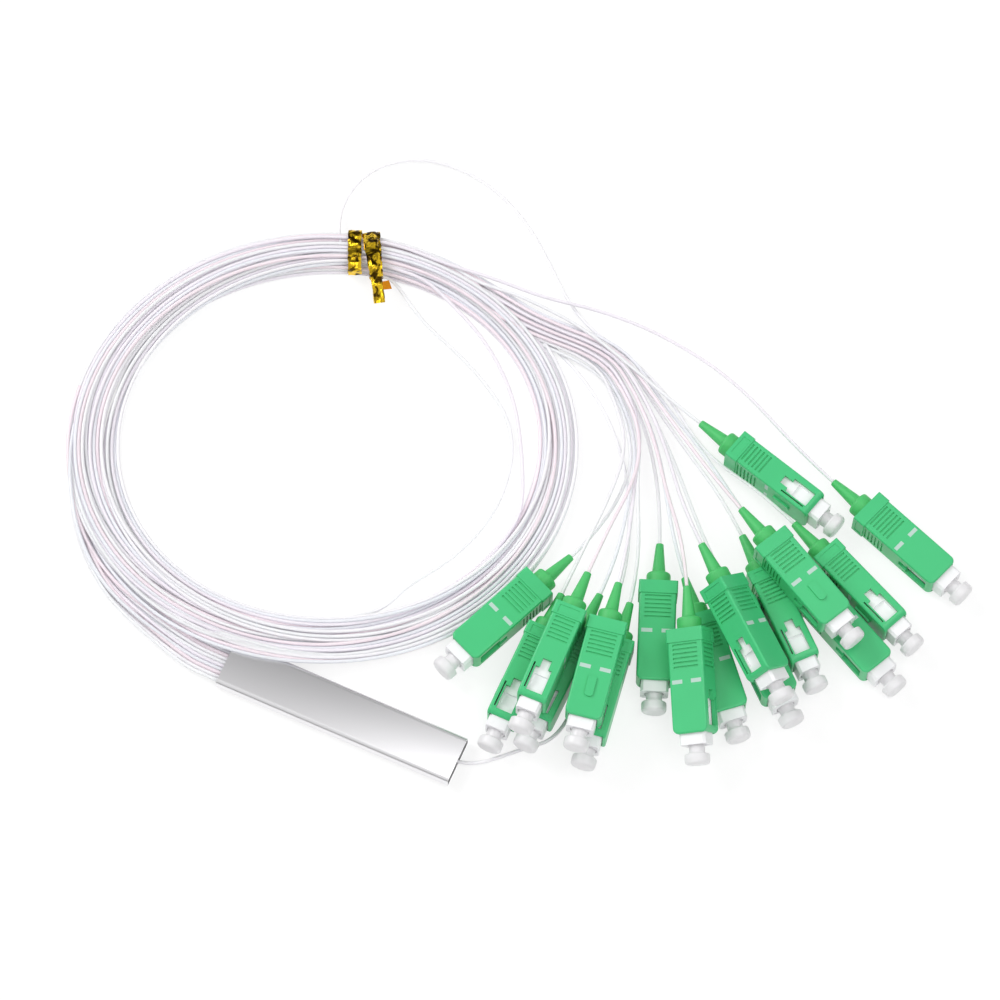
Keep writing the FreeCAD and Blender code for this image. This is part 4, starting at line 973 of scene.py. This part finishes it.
def foilMaterial(name, hexText, roughness, shadeStops):
    # vapour-coated gilt film: hard bright creases, and patches of deep brown painted shade and painted
    # dark reflection standing for folds that shade each other, colour = brown to gilt by noise, with a
    # quick change between them
    material, shader = newMaterial(name, {
        "Base Color": linearColour(hexText), "Metallic": 1.0, "Roughness": roughness})
    coordinates = addNode(material, "ShaderNodeTexCoord")
    paintedShadeNoise = noiseOver(material, 420.0, 2.0, 0.6)
    shade = addNode(material, "ShaderNodeValToRGB", None, {"Fac": paintedShadeNoise})
    # first stop: painted dark brown shade and reflection; second: the film's own gilt
    for stop, place, colour in zip(shade.color_ramp.elements, shadeStops, ("#4C380C", hexText)):
        stop.position = place
        stop.color = linearColour(colour)
    material.node_tree.links.new(shade.outputs["Color"], shader.inputs["Base Color"])
    crumple = addNode(material, "ShaderNodeTexVoronoi",
                      {"Scale": 1300.0, "feature": "DISTANCE_TO_EDGE"},
                      {"Vector": coordinates.outputs["Object"]})
    bump = addNode(material, "ShaderNodeBump", {"Strength": 0.5, "Distance": 0.00012},
                   {"Height": crumple.outputs["Distance"]})
    material.node_tree.links.new(bump.outputs["Normal"], shader.inputs["Normal"])
    return material


def addTie():
    rng = np.random.default_rng(tie["seed"])
    gilt = foilMaterial("gilt film, crumpled", "#F5CB2E", 0.12, (0.42, 0.55))
    amber = foilMaterial("gilt film, amber back", "#D98A1F", 0.3, (0.2, 0.3))
    made = []
    for number, (angle, skew) in enumerate(tie["bands"], start=1):
        vertices, faces, top = foilBand(angle, skew, rng)
        made.append(meshFrom("tieBand%d" % number, vertices * mm, faces, gilt, tie["sharp"]))
    vertices, faces = twistedEnd(top, rng)
    made.append(meshFrom("tieTwistedEnd", vertices * mm, faces, gilt, tie["sharp"]))
    for number, (corners, material) in enumerate(zip(tie["tips"], (amber, gilt)), start=1):
        vertices, faces = foilTip(corners)
        made.append(meshFrom("tieTip%d" % number, vertices * mm, faces, material, tie["sharp"]))
    for piece in made:
        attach(piece, "splitter")
        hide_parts("twist_tie")


addTie()
print("tie wound")

# Floor and light: a paper sweep under soft boxes, with the dark ceiling and camera overhead,
# which is what the steel and the foil show.
stageSizes = {
    "floor": 6.0,
    "paperGlow": 0.72,
    "paperWhite": 1.04,
    "worldStrength": 0.74,
    "horizonHeights": (0.12, 0.5),
    "horizonShare": 0.1,
    "ceilingStrength": 0.14,
    "ceilingWay": (-0.25, 0.55, 0.80),
    "ceilingReach": (27.0, 3.0),
    "lamps": (
        ("keyLamp", (-0.95, 0.25, 0.85), 0.7, 7.5),
        ("fillLamp", (0.60, -0.50, 0.80), 0.8, 1.5),
        ("topCard", (0.34, 0.16, 1.00), 0.62, 1.9),
    ),
    "lampsTarget": (0.0, 0.05, 0.0),
}


def addFloor():
    # white paper: most of what the camera sees is its own even white, so shadows stay faint
    half = stageSizes["floor"] / 2
    material, shader = newMaterial("paper backdrop, white", {
        "Base Color": linearColour("#FFFFFF"), "Roughness": 0.9, "Specular IOR Level": 0.0})
    link = material.node_tree.links.new
    glow = addNode(material, "ShaderNodeEmission", {"Strength": stageSizes["paperWhite"]})
    path = addNode(material, "ShaderNodeLightPath")
    some = addNode(material, "ShaderNodeMath", {"operation": "ADD"},
                   {0: path.outputs["Is Camera Ray"], 1: path.outputs["Is Glossy Ray"]})
    seen = addNode(material, "ShaderNodeMath", {"operation": "ADD", "use_clamp": True},
                   {0: some.outputs[0], 1: path.outputs["Is Transmission Ray"]})
    share = addNode(material, "ShaderNodeMath", {"operation": "MULTIPLY", 1: stageSizes["paperGlow"]},
                    {0: seen.outputs[0]})
    blend = addNode(material, "ShaderNodeMixShader", None, {0: share.outputs[0]})
    link(shader.outputs[0], blend.inputs[1])
    link(glow.outputs[0], blend.inputs[2])
    link(blend.outputs[0], material.node_tree.nodes["Material Output"].inputs["Surface"])
    vertices = [(-half, -half, 0), (half, -half, 0), (half, half, 0), (-half, half, 0)]
    floor = meshFrom("floor", vertices, [(0, 1, 2, 3)], material)


def addWorld():
    # white all round, dark within a cone overhead: brightness by the angle to the cone's middle,
    # and darker towards the horizon, where a light tent ends: times the horizon's share by height
    world = bpy.data.worlds.new("studio")
    world.use_nodes = True
    wide, narrow = stageSizes["ceilingReach"]
    low, high = stageSizes["horizonHeights"]
    way = addNode(world, "ShaderNodeTexCoord").outputs["Generated"]
    along = addNode(world, "ShaderNodeVectorMath", {
        "operation": "DOT_PRODUCT", 1: Vector(stageSizes["ceilingWay"]).normalized()}, {0: way})
    level = addNode(world, "ShaderNodeMapRange", {
        "interpolation_type": "SMOOTHSTEP",
        "From Min": math.cos(math.radians(wide)), "From Max": math.cos(math.radians(narrow)),
        "To Min": stageSizes["worldStrength"], "To Max": stageSizes["ceilingStrength"],
    }, {"Value": along.outputs["Value"]})
    split = addNode(world, "ShaderNodeSeparateXYZ", None, {0: way})
    horizon = addNode(world, "ShaderNodeMapRange", {
        "interpolation_type": "SMOOTHSTEP", "From Min": low, "From Max": high,
        "To Min": stageSizes["horizonShare"], "To Max": 1.0,
    }, {"Value": split.outputs["Z"]})
    share = addNode(world, "ShaderNodeMath", {"operation": "MULTIPLY"},
                    {0: level.outputs["Result"], 1: horizon.outputs["Result"]})
    background = world.node_tree.nodes["Background"]
    world.node_tree.links.new(share.outputs["Value"], background.inputs["Strength"])
    background.inputs["Color"].default_value = (1, 1, 1, 1)
    bpy.context.scene.world = world


def addLamp(name, place, size, power):
    light = bpy.data.lights.new(name, "AREA")
    light.shape = "DISK"
    light.size = size
    light.energy = power
    lamp = bpy.data.objects.new(name, light)
    lamp.location = place
    view = Vector(stageSizes["lampsTarget"]) - Vector(place)
    lamp.rotation_euler = view.to_track_quat("-Z", "Y").to_euler()
    bpy.context.scene.collection.objects.link(lamp)


addFloor()
addWorld()
for lampSizes in stageSizes["lamps"]:
    addLamp(*lampSizes)
bpy.context.scene.view_settings.view_transform = "Standard"
print("stage set")
